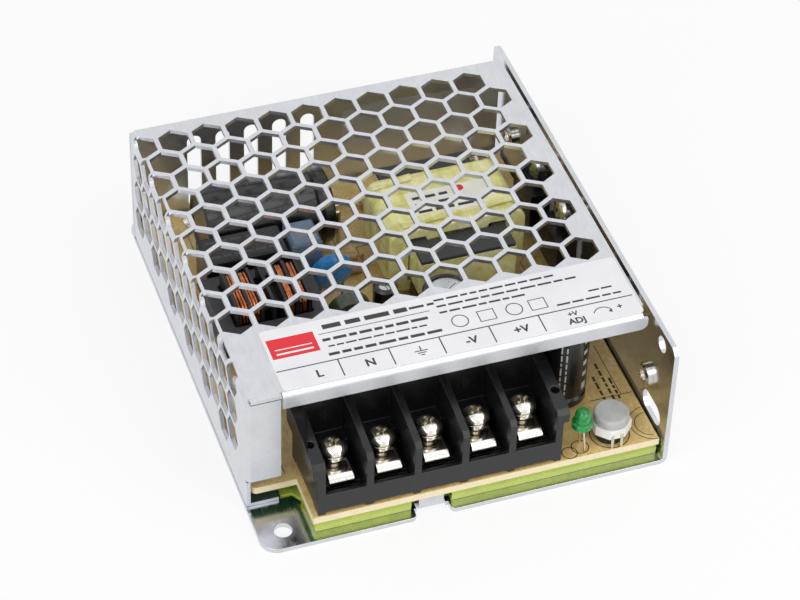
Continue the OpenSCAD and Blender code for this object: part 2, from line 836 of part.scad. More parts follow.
module trimmer_base() {
    body_r = 4.1;
    color("white") translate([trimmer_x, trimmer_y, trimmer_z]) difference() {
        union() {
            rotate(22.5) cylinder(r = body_r, h = trimmer_h, $fn = 8);
            for (turn = [-90, 30, 150])
                rotate(turn) translate([1.9, -0.6, board_top - trimmer_z])
                    cube([0.6, 1.2, trimmer_z - board_top + 0.1]);
        }
        translate([0, 0, 0.6]) cylinder(d = 2.5, h = trimmer_h, $fn = hole_fn);
    }
}

module trimmer_knob() {
    stem_d = 2.5 - 2 * run_gap;
    color("darkgray") translate([trimmer_x, trimmer_y, trimmer_z + trimmer_h + 0.1]) {
        rotate_extrude() polygon([
            [0, 0], [knob_d / 2, 0], [knob_d / 2, knob_h - 0.3], [knob_d / 2 - 0.3, knob_h], [0, knob_h]
        ]);
        translate([0, 0, -1.4]) cylinder(d = stem_d, h = 1.5, $fn = hole_fn);
    }
}

// ---- Mains side ----

module bulk_capacitor() {
    r = bulk_d / 2;
    crimp = 3.0;
    color([0.15, 0.15, 0.16]) translate([bulk_x0, bulk_y, bulk_z]) rotate([0, 90, 0])
        rotate_extrude($fn = 96) polygon([
            [0, 0.3], [r - 1.5, 0.3], [r - 1.2, 0], [r - 0.5, 0], [r, 0.5],
            [r, bulk_l - crimp - 0.8], [r - 0.6, bulk_l - crimp], [r, bulk_l - crimp + 0.8],
            [r, bulk_l - 0.5], [r - 0.5, bulk_l], [r - 1.5, bulk_l], [r - 1.8, bulk_l - 0.6], [0, bulk_l - 0.6]
        ]);
}

module bulk_capacitor_leads() {
    x_end = bulk_x0 + bulk_l - 0.6;
    color("silver") for (side = [-1, 1])
        wire([
            [x_end, bulk_y + side * 3.7, bulk_z],
            [x_end + 2.2, bulk_y + side * 3.7, bulk_z],
            [x_end + 2.2, bulk_y + side * 3.7, board_top]
        ], 0.8);
}

// Box capacitor: a moulded case with slightly chamfered upper edges
module box_capacitor(at, size) {
    c = 0.4;
    translate([at[0], at[1], board_top + seat_gap]) {
        cube([size[0], size[1], size[2] - c]);
        translate([c, c, 0]) cube([size[0] - 2 * c, size[1] - 2 * c, size[2]]);
    }
}

module mains_capacitor() {
    color([0.2, 0.2, 0.21]) box_capacitor(mains_cap_at, mains_cap);
}

module film_capacitor() {
    color("slategray") box_capacitor(film_cap_at, film_cap);
}

module disc_capacitor() {
    z = board_top + 2.4 + disc_d / 2;
    color("steelblue") translate([disc_at[0], disc_at[1], z]) {
        rotate([90, 0, 0]) rotate_extrude() intersection() {
            translate([0, -6.5]) circle(8, $fn = 96);
            mirror([0, 1]) translate([0, -6.5]) circle(8, $fn = 96);
            translate([0, -2]) square([disc_d / 2, 4]);
        }
        for (side = [-1, 1])
            translate([side * 2.5, 0, board_top - z]) cylinder(d = 0.6, h = z - board_top - 2, $fn = wire_fn);
    }
}

// Line choke: a flat frame core with four wound sections on its middle leg
module choke_core() {
    x1 = choke_x0 + choke_l;
    y1 = choke_y0 + choke_w;
    mid = choke_y0 + choke_w / 2;
    side = (choke_w - choke_leg_w) / 2 - 3.8;
    color([0.25, 0.25, 0.26]) translate([0, 0, choke_z]) linear_extrude(choke_bar) {
        rect([choke_x0, choke_y0], [choke_x0 + 3, y1]);
        rect([x1 - 3, choke_y0], [x1, y1]);
        rect([choke_x0, choke_y0], [x1, choke_y0 + side]);
        rect([choke_x0, y1 - side], [x1, y1]);
        rect([choke_x0, mid - choke_leg_w / 2], [x1, mid + choke_leg_w / 2]);
    }
}

choke_mid = [choke_y0 + choke_w / 2, choke_z + choke_bar / 2];
choke_in_x0 = choke_x0 + 3 + gap;
choke_in_l = choke_l - 6 - 2 * gap;
choke_wall = 0.7;
choke_coil_w = choke_leg_w + 7.0;
choke_coil_h = 14.0;
choke_flanges = [0, 0.17, 0.335, 0.5, 0.665, 0.83, 1];
choke_sections = [0, 1, 4, 5];

// A frame round the choke's middle leg, in Y and Z
module choke_ring(w, h, hole) {
    difference() {
        round_rect(choke_mid - [w, h] / 2, choke_mid + [w, h] / 2, 1.5);
        rect(choke_mid - [choke_leg_w, choke_bar] / 2 - [hole, hole],
             choke_mid + [choke_leg_w, choke_bar] / 2 + [hole, hole]);
    }
}

module choke_bobbin() {
    tube = 0.7;
    color([0.1, 0.1, 0.1]) {
        along_x(choke_in_x0, choke_in_x0 + choke_in_l)
            choke_ring(choke_leg_w + 2 * (tube + gap / 2), choke_bar + 2 * (tube + gap / 2), gap / 2);
        for (f = choke_flanges) {
            x = choke_in_x0 + f * (choke_in_l - choke_wall);
            along_x(x, x + choke_wall) choke_ring(choke_coil_w + 0.6, choke_coil_h + 0.4, gap / 2);
        }
        for (f = [0, 1], y = [-2.5, 2.5]) {
            x = choke_in_x0 + f * (choke_in_l - choke_wall);
            block([x, choke_mid[0] + y - 0.6, board_top], [x + choke_wall, choke_mid[0] + y + 0.6, choke_z]);
        }
    }
}

module choke_windings() {
    step = (choke_in_l - choke_wall) / 6;
    tube = 0.7;
    color([0.72, 0.45, 0.2]) for (i = choke_sections) {
        x = choke_in_x0 + i * step * 1.0 + choke_wall + 0.05;
        along_x(x, x + step - choke_wall - 0.1) choke_ring(choke_coil_w, choke_coil_h, tube + gap / 2 + 0.05);
    }
}

module fuse() {
    z = board_top + 3.4;
    color("ivory") translate([fuse_x, fuse_y, z]) rotate([-90, 0, 0]) {
        cylinder(d = 4.4, h = 11);
        for (y = [0, 9]) translate([0, 0, y]) cylinder(d = 5, h = 2);
    }
}

module fuse_leads() {
    z = board_top + 3.4;
    color("silver") {
        wire([[fuse_x, fuse_y, z], [fuse_x, fuse_y - 1.8, z], [fuse_x, fuse_y - 1.8, board_top]], 0.7);
        wire([[fuse_x, fuse_y + 11, z], [fuse_x, fuse_y + 12.8, z], [fuse_x, fuse_y + 12.8, board_top]], 0.7);
    }
}

// Inrush thermistor: a thick dark disc on two legs
module thermistor() {
    z = board_top + 2 + 4.5;
    color("darkolivegreen") translate([choke_x0 + choke_l + 4.9, choke_y0 + 3.4, z]) {
        rotate([90, 0, 0]) translate([0, 0, -1.8]) cylinder(d = 9, h = 3.6);
        for (side = [-1, 1])
            translate([side * 2.5, 0, board_top - z]) cylinder(d = 0.7, h = z - board_top - 2.5, $fn = wire_fn);
    }
}

module bridge_rectifier() {
    at = [choke_x0 + 12, choke_y0 - 8.4, board_top];
    color([0.12, 0.12, 0.12]) translate(at) {
        translate([0, 0, 2.5]) difference() {
            cube([14.5, 4.6, 10.5]);
            translate([14.5, -cut, 10.5]) rotate([0, 45, 0]) cube([2.4, 4.6 + 2 * cut, 2.4], center = false);
        }
        for (i = [0:3])
            translate([1.6 + i * 3.8, 2.3, 0]) cylinder(d = 0.9, h = 2.6, $fn = wire_fn);
    }
}

// ---- Transformer ----

module transformer_core() {
    x0 = trans_x - core_w / 2;
    x1 = trans_x + core_w / 2;
    y0 = trans_y - core_l / 2;
    y1 = trans_y + core_l / 2;
    color([0.17, 0.17, 0.18]) translate([0, 0, core_z]) linear_extrude(core_h) {
        rect([x0, y0], [x1, y0 + core_bar]);
        rect([x0, y1 - core_bar], [x1, y1]);
        for (x = [x0, trans_x - core_leg, x1 - core_leg])
            rect([x, y0], [x == trans_x - core_leg ? x + 2 * core_leg : x + core_leg, y1]);
    }
}

// Taped winding: a soft-cornered block with channels for the core's three legs
module transformer_winding() {
    x0 = trans_x - winding_w / 2;
    x1 = trans_x + winding_w / 2;
    y0 = trans_y - core_l / 2 + core_bar + gap;
    y1 = trans_y + core_l / 2 - core_bar - gap;
    z0 = board_top + 2.2;
    mid = core_z + core_h / 2;
    color("khaki") along_y(y0, y1) difference() {
        round_rect([x0, z0], [x1, z0 + winding_h], 3);
        for (x = [trans_x - core_w / 2, trans_x - core_leg, trans_x + core_w / 2 - core_leg])
            rect([x - gap, core_z - gap],
                [(x == trans_x - core_leg ? x + 2 * core_leg : x + core_leg) + gap, 2 * mid - core_z + gap]);
    }
}

// Pin rails under the two core bars
module transformer_bobbin() {
    color([0.13, 0.13, 0.13]) for (side = [-1, 1])
        translate([trans_x, trans_y + side * (core_l / 2 - core_bar / 2), 0]) {
            block([-core_w / 2, -core_bar / 2, board_top + 1.2], [core_w / 2, core_bar / 2, core_z]);
            for (i = [-2:2])
                translate([i * 4, 0, board_top]) cylinder(d = 0.8, h = 1.3, $fn = wire_fn);
        }
}

module transformer_label() {
    z = board_top + 2.2 + winding_h;
    color("white") translate([trans_x + 1, trans_y - 1, z])
        linear_extrude(0.1) rect([-9, -4], [9, 3.5]);
}

// ---- Output side ----

// Upright electrolytic capacitor with its crimp groove near the board
module can_capacitor(at, d, h) {
    r = d / 2;
    translate([at[0], at[1], board_top]) rotate_extrude($fn = 64) polygon([
        [0, 0], [r - 0.3, 0], [r, 0.3], [r, 1.6], [r - 0.5, 2.2], [r, 2.8],
        [r, h - 0.4], [r - 0.4, h], [r - 1, h], [r - 1.2, h - 0.3], [0, h - 0.3]
    ]);
}

module output_capacitors() {
    color([0.13, 0.13, 0.14]) for (c = output_caps)
        can_capacitor(c, output_cap_d, c[2]);
}

module control_capacitor() {
    color([0.13, 0.13, 0.14]) can_capacitor(control_cap_at, control_cap_d, 11);
}

module output_choke_core() {
    color("khaki") translate([output_choke_at[0], output_choke_at[1], output_choke_z])
        rotate_extrude() rect([output_choke_hole, 0], [output_choke_r, output_choke_h]);
}

// Winding: a sleeve that wraps the ring's section for most of a turn
module output_choke_winding() {
    wall = output_choke_wire;
    color([0.72, 0.45, 0.2]) translate([output_choke_at[0], output_choke_at[1], output_choke_z])
        rotate(60) rotate_extrude(angle = 300) difference() {
            rect([output_choke_hole - wall - 0.05, -wall - 0.05],
                 [output_choke_r + wall + 0.05, output_choke_h + wall + 0.05]);
            rect([output_choke_hole - 0.05, -0.05], [output_choke_r + 0.05, output_choke_h + 0.05]);
        }
}

// Two power devices, tabs clamped to the chassis wall
module power_devices() {
    x1 = wall_in - pad_t;
    color([0.15, 0.15, 0.15]) for (y = device_places) difference() {
        union() {
            block([x1 - device_t, y - device_w / 2, board_top + 3], [x1, y + device_w / 2, board_top + 12]);
            block([x1 - tab_t, y - device_w / 2, board_top + 12], [x1, y + device_w / 2, board_top + 18.2]);
            for (i = [-1:1])
                block([x1 - 2.7, y + i * 2.54 - 0.4, board_top], [x1 - 2.2, y + i * 2.54 + 0.4, board_top + 3.1]);
        }
        bar_x([y, device_screw_z], 3.6, x1 - tab_t - cut, x1 + cut);
    }
}

module heat_pads() {
    color("lightgray") for (y = device_places)
        along_x(wall_in - pad_t, wall_in) difference() {
            rect([y - device_w / 2 - 1, board_top + 2], [y + device_w / 2 + 1, board_top + 19]);
            translate([y, device_screw_z]) circle(d = 3.6);
        }
}

module device_screws() {
    color("silver") for (y = device_places)
        translate([wall_in - pad_t - tab_t, y, device_screw_z]) rotate([0, -90, 0])
            pan_screw(device_screw_d, 5.4, 1.8, tab_t + pad_t + chassis_t);
}

module optocoupler() {
    at = [output_choke_at[0] - output_choke_r - 9, block_back + 1.5, board_top];
    color([0.1, 0.1, 0.1]) translate(at) {
        translate([0, 0, 0.6]) cube([6.4, 4.6, 3.4]);
        for (x = [-0.3, 6.2], y = [1, 3.3]) translate([x, y, 0]) cube([0.5, 0.6, 2.4]);
    }
}

// Controller under the board, in the space above the film
module control_chip() {
    at = [trans_x - 24, trans_y - 20, board_z];
    color([0.1, 0.1, 0.1]) translate([at[0], at[1], at[2] - 1.6]) cube([4.9, 3.9, 1.6]);
}

// Axial part lying along X: body, then a lead down at each end
module axial_part(at, length, d) {
    z = d / 2 + 0.4;
    translate([at[0], at[1], board_top]) {
        translate([-length / 2, 0, z]) rotate([0, 90, 0]) cylinder(d = d, h = length, $fn = 24);
        for (side = [-1, 1])
            wire([[side * length / 2, 0, z], [side * (length / 2 + 1.4), 0, z], [side * (length / 2 + 1.4), 0, 0]], 0.5);
    }
}

resistor_places = [
    [trans_x - 19.5, trans_y + 2], [trans_x - 19.5, trans_y + 5.5], [trans_x - 8, trans_y + 20.5],
    [trans_x + 2, trans_y + 20.5], [trans_x + 12, trans_y + 20.5], [trans_x - 19, trans_y - 27]
];

module resistors() {
    color("tan") for (at = resistor_places) axial_part(at, 5.5, 2);
}

jumper_places = [
    [bulk_x0 + bulk_l + 3.4, bulk_y + 6], [trans_x - 4, trans_y + 24],
    [output_choke_at[0] + output_choke_r + 2, output_choke_at[1] + 3]
];

module jumper_wires() {
    span = [8, 0, 0];
    rise = [0, 0, 1];
    color("silver") for (at = jumper_places) {
        foot = [at[0], at[1], board_top];
        wire([foot, foot + rise, foot + rise + span, foot + span], 0.6);
    }
}

// Clear film that stands across the rear of the board
module barrier_film() {
    color("whitesmoke") along_y(board_y1 - 1.2, board_y1 - 0.95)
        polygon([
            [trans_x - 12, board_top], [trans_x + 17, board_top], [trans_x + 17, board_top + 19],
            [trans_x - 4, board_top + 20.5], [trans_x - 12, board_top + 19.5]
        ]);
}

chassis();
side_nuts();
cover();
cover_screws();
label();
insulation_film();
board_spacers();
circuit_board();
board_screws();
terminal_block();
terminal_contacts();
wire_clamp(0);  // wire_clamp_1
wire_clamp(1);  // wire_clamp_2
wire_clamp(2);  // wire_clamp_3
wire_clamp(3);  // wire_clamp_4
wire_clamp(4);  // wire_clamp_5
terminal_screw(0);  // terminal_screw_1
terminal_screw(1);  // terminal_screw_2
terminal_screw(2);  // terminal_screw_3
terminal_screw(3);  // terminal_screw_4
terminal_screw(4);  // terminal_screw_5
indicator_led();
led_leads();
trimmer_base();
trimmer_knob();
bulk_capacitor();
bulk_capacitor_leads();
mains_capacitor();
film_capacitor();
disc_capacitor();
choke_core();
choke_bobbin();
choke_windings();
fuse();
fuse_leads();
thermistor();
bridge_rectifier();
transformer_core();
transformer_winding();
transformer_bobbin();
transformer_label();
output_capacitors();
control_capacitor();
output_choke_core();
output_choke_winding();
power_devices();
heat_pads();
device_screws();
optocoupler();
control_chip();
resistors();
jumper_wires();
barrier_film();
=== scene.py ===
"""Looks for the enclosed switching power supply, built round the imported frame.

Lengths in the helper functions are millimetres in the frame's own axes: +X to the chassis wall,
+Y to the rear, +Z up. MM turns them into Blender's metres.
"""

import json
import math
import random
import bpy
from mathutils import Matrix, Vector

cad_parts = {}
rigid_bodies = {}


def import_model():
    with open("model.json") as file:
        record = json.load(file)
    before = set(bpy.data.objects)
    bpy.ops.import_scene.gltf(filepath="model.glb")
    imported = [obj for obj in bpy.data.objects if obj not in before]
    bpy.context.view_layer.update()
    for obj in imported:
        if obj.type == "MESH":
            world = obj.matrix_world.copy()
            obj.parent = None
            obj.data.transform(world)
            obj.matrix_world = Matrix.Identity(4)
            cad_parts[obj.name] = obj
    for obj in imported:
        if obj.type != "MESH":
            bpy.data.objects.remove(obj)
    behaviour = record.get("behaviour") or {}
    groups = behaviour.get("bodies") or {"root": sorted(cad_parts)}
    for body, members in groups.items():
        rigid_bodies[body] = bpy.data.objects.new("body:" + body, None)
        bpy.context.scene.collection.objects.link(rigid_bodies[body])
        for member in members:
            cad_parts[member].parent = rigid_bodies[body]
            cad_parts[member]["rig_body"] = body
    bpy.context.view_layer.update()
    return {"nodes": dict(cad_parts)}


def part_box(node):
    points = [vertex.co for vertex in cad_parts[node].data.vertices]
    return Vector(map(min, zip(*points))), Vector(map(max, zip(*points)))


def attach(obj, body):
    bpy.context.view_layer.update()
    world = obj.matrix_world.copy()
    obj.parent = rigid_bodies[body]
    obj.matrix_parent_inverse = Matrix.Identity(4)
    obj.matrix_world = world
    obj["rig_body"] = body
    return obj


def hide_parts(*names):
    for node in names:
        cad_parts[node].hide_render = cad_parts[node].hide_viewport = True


bl_info = {
    "name": "Mesh case power supply",
    "version": (1, 0, 0),
    "blender": (4, 5, 0),
    "location": "3D View > Sidebar > Power supply",
    "description": "Dresses the packed power supply with its finishes, print, windings and small parts",
    "category": "Object",
}

import bmesh
import bpy
from mathutils import Matrix, Vector

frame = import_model()
CASE = "case"
MM = 0.001
# Thickness of printed ink on labels, and on the board
INK = 0.02
BOARD_INK = 0.015


# ---- Places taken from the frame ----


def box_mm(node):
    """Lowest and highest corner of a CAD node, in millimetres."""
    low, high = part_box(node)
    return low / MM, high / MM


def middle(node):
    """Centre of a CAD node, in millimetres."""
    low, high = box_mm(node)
    return (low + high) / 2


BOARD_LOW, BOARD_HIGH = box_mm("circuit_board")
BOARD_TOP = BOARD_HIGH.z
TERMINALS = 5


# ---- Mesh helpers ----


def new_piece(name, mesh, material, body=CASE):
    """Puts a finished mesh in the scene and lets it ride on a body."""
    piece = bpy.data.objects.new(name, mesh)
    bpy.context.scene.collection.objects.link(piece)
    mesh.materials.clear()
    mesh.materials.append(material)
    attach(piece, body)
    return piece


def mesh_from(bm, name, sharp=35, outward=True):
    """Turns a bmesh in millimetres into a mesh in metres; outward turns its faces to the outside."""
    bmesh.ops.scale(bm, vec=(MM, MM, MM), verts=bm.verts)
    if outward:
        bmesh.ops.recalc_face_normals(bm, faces=bm.faces)
    mesh = bpy.data.meshes.new(name)
    bm.to_mesh(mesh)
    bm.free()
    smooth(mesh, sharp)
    return mesh


def smooth(mesh, sharp=35):
    """Shades a mesh smooth, with creases kept past the sharp angle."""
    mesh.shade_smooth()
    mesh.set_sharp_from_angle(angle=math.radians(sharp))


def add_box(bm, low, high, bevel=0.0, segments=2):
    """Adds a box between two corners, with its edges rounded."""
    made = bmesh.ops.create_cube(bm, size=1.0)["verts"]
    size = Vector(high) - Vector(low)
    centre = (Vector(high) + Vector(low)) / 2
    bmesh.ops.scale(bm, vec=size, verts=made)
    bmesh.ops.translate(bm, vec=centre, verts=made)
    if bevel:
        edges = list({e for v in made for e in v.link_edges})
        bmesh.ops.bevel(bm, geom=edges, offset=bevel, segments=segments, affect="EDGES", profile=0.5)


def around(centre, radius, turn):
    """The (x, y) place at a turn, in radians, round a centre."""
    return centre[0] + radius * math.cos(turn), centre[1] + radius * math.sin(turn)


def add_band(bm, a, b):
    """Joins two closed loops with the same number of corners by a band of faces."""
    for k in range(len(a)):
        m = (k + 1) % len(a)
        bm.faces.new((a[k], a[m], b[m], b[k]))


def add_skin(bm, loops, closed_ends=True):
    """Joins a row of closed loops into a skin, and closes its two ends."""
    for a, b in zip(loops, loops[1:]):
        add_band(bm, a, b)
    if closed_ends:
        bm.faces.new(list(reversed(loops[0])))
        bm.faces.new(loops[-1])


def add_slab(bm, outline, z, thickness):
    """Adds a flat slab with the given outline of (x, y) points, its underside at z."""
    add_skin(bm, [[bm.verts.new((x, y, level)) for x, y in outline] for level in (z, z + thickness)])


def add_bar(bm, x0, y0, x1, y1, z, thickness=INK):
    """Adds a flat printed rectangle."""
    add_slab(bm, [(x0, y0), (x1, y0), (x1, y1), (x0, y1)], z, thickness)


def add_stroke(bm, start, end, width, z, thickness=INK):
    """Adds a straight printed line of the given width between two (x, y) points."""
    a, b = Vector(start), Vector(end)
    side = (b - a).orthogonal().normalized() * width / 2
    add_slab(bm, [tuple(a + side), tuple(a - side), tuple(b - side), tuple(b + side)], z, thickness)


def add_arc(bm, centre, radius, width, z, start=0.0, end=360.0, thickness=INK, steps=48):
    """Adds a printed arc or, for a full turn, a ring."""
    inner, outer = radius - width / 2, radius + width / 2
    loops = []
    for i in range(steps + 1):
        turn = math.radians(start + (end - start) * i / steps)
        corners = ((inner, z), (outer, z), (outer, z + thickness), (inner, z + thickness))
        loops.append([bm.verts.new((*around(centre, r, turn), level)) for r, level in corners])
    is_ring = end - start >= 360
    add_skin(bm, loops, closed_ends=not is_ring)
    if is_ring:
        bmesh.ops.remove_doubles(bm, verts=[v for loop in loops for v in loop], dist=1e-5)


def add_tube(bm, points, radius, sides=10):
    """Adds a round wire through the points, with closed ends."""
    points = [Vector(p) for p in points]
    loops = []
    side = (points[1] - points[0]).orthogonal().normalized()
    for i, point in enumerate(points):
        before = points[max(i - 1, 0)]
        after = points[min(i + 1, len(points) - 1)]
        along = (after - before).normalized()
        side = (side - along * side.dot(along)).normalized()
        up = along.cross(side)
        turns = [2 * math.pi * k / sides for k in range(sides)]
        loops.append([bm.verts.new(point + radius * (math.cos(t) * side + math.sin(t) * up)) for t in turns])
    add_skin(bm, loops)


def rounded_path(corners, radius, steps=6):
    """Points along straight stretches whose corners are rounded by quadratic curves."""
    corners = [Vector(c) for c in corners]
    path = [corners[0]]
    for before, corner, after in zip(corners, corners[1:], corners[2:]):
        start = corner + (before - corner).normalized() * radius
        end = corner + (after - corner).normalized() * radius
        for i in range(steps + 1):
            t = i / steps
            path.append(start * (1 - t) ** 2 + corner * 2 * t * (1 - t) + end * t * t)
    path.append(corners[-1])
    return path


def add_lathe(bm, profile, centre, steps=40):
    """Adds a solid turned about a vertical axis; profile runs as (radius, z) from axis to axis."""
    turns = [2 * math.pi * k / steps for k in range(steps)]
    rings = []
    for radius, z in profile:
        if radius < 1e-6:
            rings.append([bm.verts.new((*centre, z))])
        else:
            rings.append([bm.verts.new((*around(centre, radius, t), z)) for t in turns])
    for a, b in zip(rings, rings[1:]):
        if len(a) == len(b) == steps:
            add_band(bm, a, b)
            continue
        for k in range(steps):
            m = (k + 1) % steps
            if len(b) > 1:
                bm.faces.new((a[0], b[k], b[m]))
            elif len(a) > 1:
                bm.faces.new((a[k], a[m], b[0]))


def merged_copy(node, name):
    """A copy of a CAD node's mesh with its loose triangles joined and its flats made whole."""
    bm = bmesh.new()
    bm.from_mesh(frame["nodes"][node].data)
    bmesh.ops.remove_doubles(bm, verts=bm.verts, dist=2e-7)
    bmesh.ops.dissolve_limit(bm, angle_limit=math.radians(0.5), verts=bm.verts, edges=bm.edges)
    mesh = bpy.data.meshes.new(name)
    bm.to_mesh(mesh)
    bm.free()
    if "custom_normal" in mesh.attributes:
        mesh.attributes.remove(mesh.attributes["custom_normal"])
    smooth(mesh)
    return mesh


def plain_mesh(holder):
    """The mesh of an object as it stands after its modifiers."""
    bpy.context.view_layer.update()
    graph = bpy.context.evaluated_depsgraph_get()
    return bpy.data.meshes.new_from_object(holder.evaluated_get(graph))


def new_holder(name, data):
    """Links a helper object that is removed again once its mesh has been read."""
    holder = bpy.data.objects.new(name, data)
    bpy.context.scene.collection.objects.link(holder)
    return holder


def softened(node, material, width, segments=2, angle=40):
    """Replaces a CAD node by a copy whose sharp edges carry a small rounding."""
    name = node + "_finished"
    piece = new_piece(name, merged_copy(node, name), material, body_of(node))
    bevel = add_bevel(piece, "edge rounding", width, segments, angle)
    bevel.use_clamp_overlap = False
    bevel.harden_normals = True
    bevel.miter_outer = "MITER_ARC"
    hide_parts(node)
    return piece


def add_bevel(piece, name, width, segments, angle):
    """Rounds the edges that are sharper than the angle, in degrees, by a width in millimetres."""
    bevel = piece.modifiers.new(name, "BEVEL")
    bevel.width = width * MM
    bevel.segments = segments
    bevel.limit_method = "ANGLE"
    bevel.angle_limit = math.radians(angle)
    return bevel


def body_of(node):
    """Name of the body that carries a CAD node."""
    return frame["nodes"][node]["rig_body"]


def dress(node, material):
    """Gives a CAD node a better material and keeps its mesh."""
    data = frame["nodes"][node].data
    data.materials.clear()
    data.materials.append(material)


def lettering(bm, text, size, centre, z):
    """Adds a generic mark, such as L or N, as flat printed lettering centred on (x, y)."""
    curve = bpy.data.curves.new("mark", "FONT")
    curve.body = text
    curve.size = 1.0
    curve.align_x = "CENTER"
    curve.align_y = "CENTER"
    curve.offset = 0.03
    curve.extrude = 0.5
    curve.resolution_u = 3
    holder = new_holder("mark", curve)
    mesh = plain_mesh(holder)
    place = Matrix.Translation((*centre, z + INK / 2)) @ Matrix.Diagonal((size, size, INK, 1))
    mesh.transform(place)
    bm.from_mesh(mesh)
    bpy.data.meshes.remove(mesh)
    bpy.data.objects.remove(holder)
    bpy.data.curves.remove(curve)


# ---- Material helpers ----


def colour(code):
    """A linear colour from an sRGB hex value such as "C0C4C8"."""
    def channel(pair):
        value = int(pair, 16) / 255
        return value / 12.92 if value <= 0.04045 else ((value + 0.055) / 1.055) ** 2.4
    return (channel(code[0:2]), channel(code[2:4]), channel(code[4:6]), 1.0)


def add(tree, kind, inputs=None, **settings):
    """Adds a node; inputs are values or the sockets that feed them."""
    node = tree.nodes.new(kind)
    for key, value in settings.items():
        setattr(node, key, value)
    for key, value in (inputs or {}).items():
        if isinstance(value, bpy.types.NodeSocket):
            tree.links.new(value, node.inputs[key])
        else:
            node.inputs[key].default_value = value
    return node


def start_material(name, **shader):
    """A new material with a Principled shader; returns the material, its tree and the shader."""
    material = bpy.data.materials.new(name)
    material.use_nodes = True
    tree = material.node_tree
    principled = tree.nodes["Principled BSDF"]
    for key, value in shader.items():
        principled.inputs[key.replace("_", " ")].default_value = value
    return material, tree, principled


def object_point(tree, stretch=(1, 1, 1)):
    """Object coordinates in millimetres, stretched where a grain runs one way."""
    point = add(tree, "ShaderNodeTexCoord").outputs["Object"]
    scale = tuple(s / MM for s in stretch)
    return add(tree, "ShaderNodeMapping", {"Vector": point, "Scale": scale}).outputs["Vector"]


def noise(tree, point, scale, detail=4.0, roughness=0.55, distortion=0.0):
    """Noise of about the given number of cells a millimetre."""
    made = add(tree, "ShaderNodeTexNoise", {
        "Vector": point, "Scale": scale, "Detail": detail, "Roughness": roughness, "Distortion": distortion})
    return made.outputs["Fac"]


def blend_colours(tree, factor, low, high, start=0.3, end=0.7):
    """A colour ramp between two colours over a stretch of the factor."""
    ramp = add(tree, "ShaderNodeValToRGB", {"Fac": factor})
    ramp.color_ramp.elements[0].position = start
    ramp.color_ramp.elements[0].color = low
    ramp.color_ramp.elements[1].position = end
    ramp.color_ramp.elements[1].color = high
    return ramp.outputs["Color"]


def spread(tree, factor, low, high, start=0.3, end=0.7):
    """Maps a stretch of the factor to a range of values."""
    made = add(tree, "ShaderNodeMapRange", {
        "Value": factor, "From Min": start, "From Max": end, "To Min": low, "To Max": high})
    return made.outputs["Result"]


def bump(tree, shader, height, depth, strength=1.0):
    """Lets a height, in parts of depth in millimetres, bend the shader's normal."""
    made = add(tree, "ShaderNodeBump", {"Height": height, "Strength": strength, "Distance": depth * MM})
    tree.links.new(made.outputs["Normal"], shader.inputs["Normal"])


def mix_colours(tree, share, low, high, kind="MIX"):
    """Mixes two colours; share 1 gives the whole of the second."""
    made = add(tree, "ShaderNodeMix", {0: share, 6: low, 7: high}, data_type="RGBA", blend_type=kind)
    return made.outputs[2]


def combine(tree, kind, first, second):
    """One arithmetic step between two values."""
    return add(tree, "ShaderNodeMath", {0: first, 1: second}, operation=kind).outputs[0]


def finish_surface(tree, shader, base, rough):
    """Feeds the shader its colour and roughness."""
    tree.links.new(base, shader.inputs["Base Color"])
    tree.links.new(rough, shader.inputs["Roughness"])


def one_grain(name, grain, tones, rough=None, ramp=(0.3, 0.7), steps=(0.3, 0.7), relief=None, **values):
    """A material whose colour, roughness and relief all follow one noise.

    grain holds the noise's settings, tones its two colours, and ramp and steps the stretches of
    the noise over which the colour and the roughness change.
    """
    material, tree, shader = start_material(name, **values)
    factor = noise(tree, object_point(tree), *grain)
    tree.links.new(blend_colours(tree, factor, *tones, *ramp), shader.inputs["Base Color"])
    if rough:
        tree.links.new(spread(tree, factor, *rough, *steps), shader.inputs["Roughness"])
    if relief:
        bump(tree, shader, factor, *relief)
    return material


# ---- Materials, each named for the real one ----


def zinc_plated_sheet(name, tone, dark, gloss, grain=(1.0, 0.12, 1.0)):
    """Zinc-plated steel sheet: a pale satin metal, faintly mottled, with fine lines from rolling."""
    material, tree, shader = start_material(name, Metallic=1.0)
    point = object_point(tree)
    cloud = noise(tree, point, 0.22, 5)
    # Rolling lines are finer than a tenth of a millimetre; drawn coarser, so that they show
    lines = noise(tree, object_point(tree, grain), 3.2, 3, 0.6)
    mottle = add(tree, "ShaderNodeTexVoronoi", {"Vector": point, "Scale": 0.9}, feature="SMOOTH_F1")
    fine = blend_colours(tree, lines, colour("F0F0F0"), colour("FFFFFF"), 0.2, 0.7)
    base = mix_colours(tree, 1.0, blend_colours(tree, cloud, dark, tone), fine, "MULTIPLY")
    rough = spread(tree, lines, gloss - 0.06, gloss + 0.08)
    uneven = spread(tree, mottle.outputs["Distance"], -0.03, 0.03, 0.1, 0.8)
    finish_surface(tree, shader, base, combine(tree, "ADD", rough, uneven))
    bump(tree, shader, lines, 0.0015)
    return material


def plated_hardware(name, tone, rough=0.14):
    """Nickel plating: bright and slightly warm, with tiny handling marks."""
    return one_grain(name, (2.5, 6, 0.7), (colour("B8B3A8"), tone), (rough + 0.14, rough),
                     (0.25, 0.55), (0.3, 0.6), (0.01,), Metallic=1.0)


def moulded_plastic(name, tone, shade, rough, grain=6.0, depth=0.006):
    """Moulded thermoplastic: even colour, a fine spark-eroded grain and a soft sheen."""
    material, tree, shader = start_material(name, IOR=1.5)
    point = object_point(tree)
    cloud = noise(tree, point, 0.35, 4)
    skin = noise(tree, point, grain, 3)
    finish_surface(tree, shader, blend_colours(tree, cloud, shade, tone),
                   spread(tree, skin, rough - 0.05, rough + 0.07))
    bump(tree, shader, skin, depth)
    return material


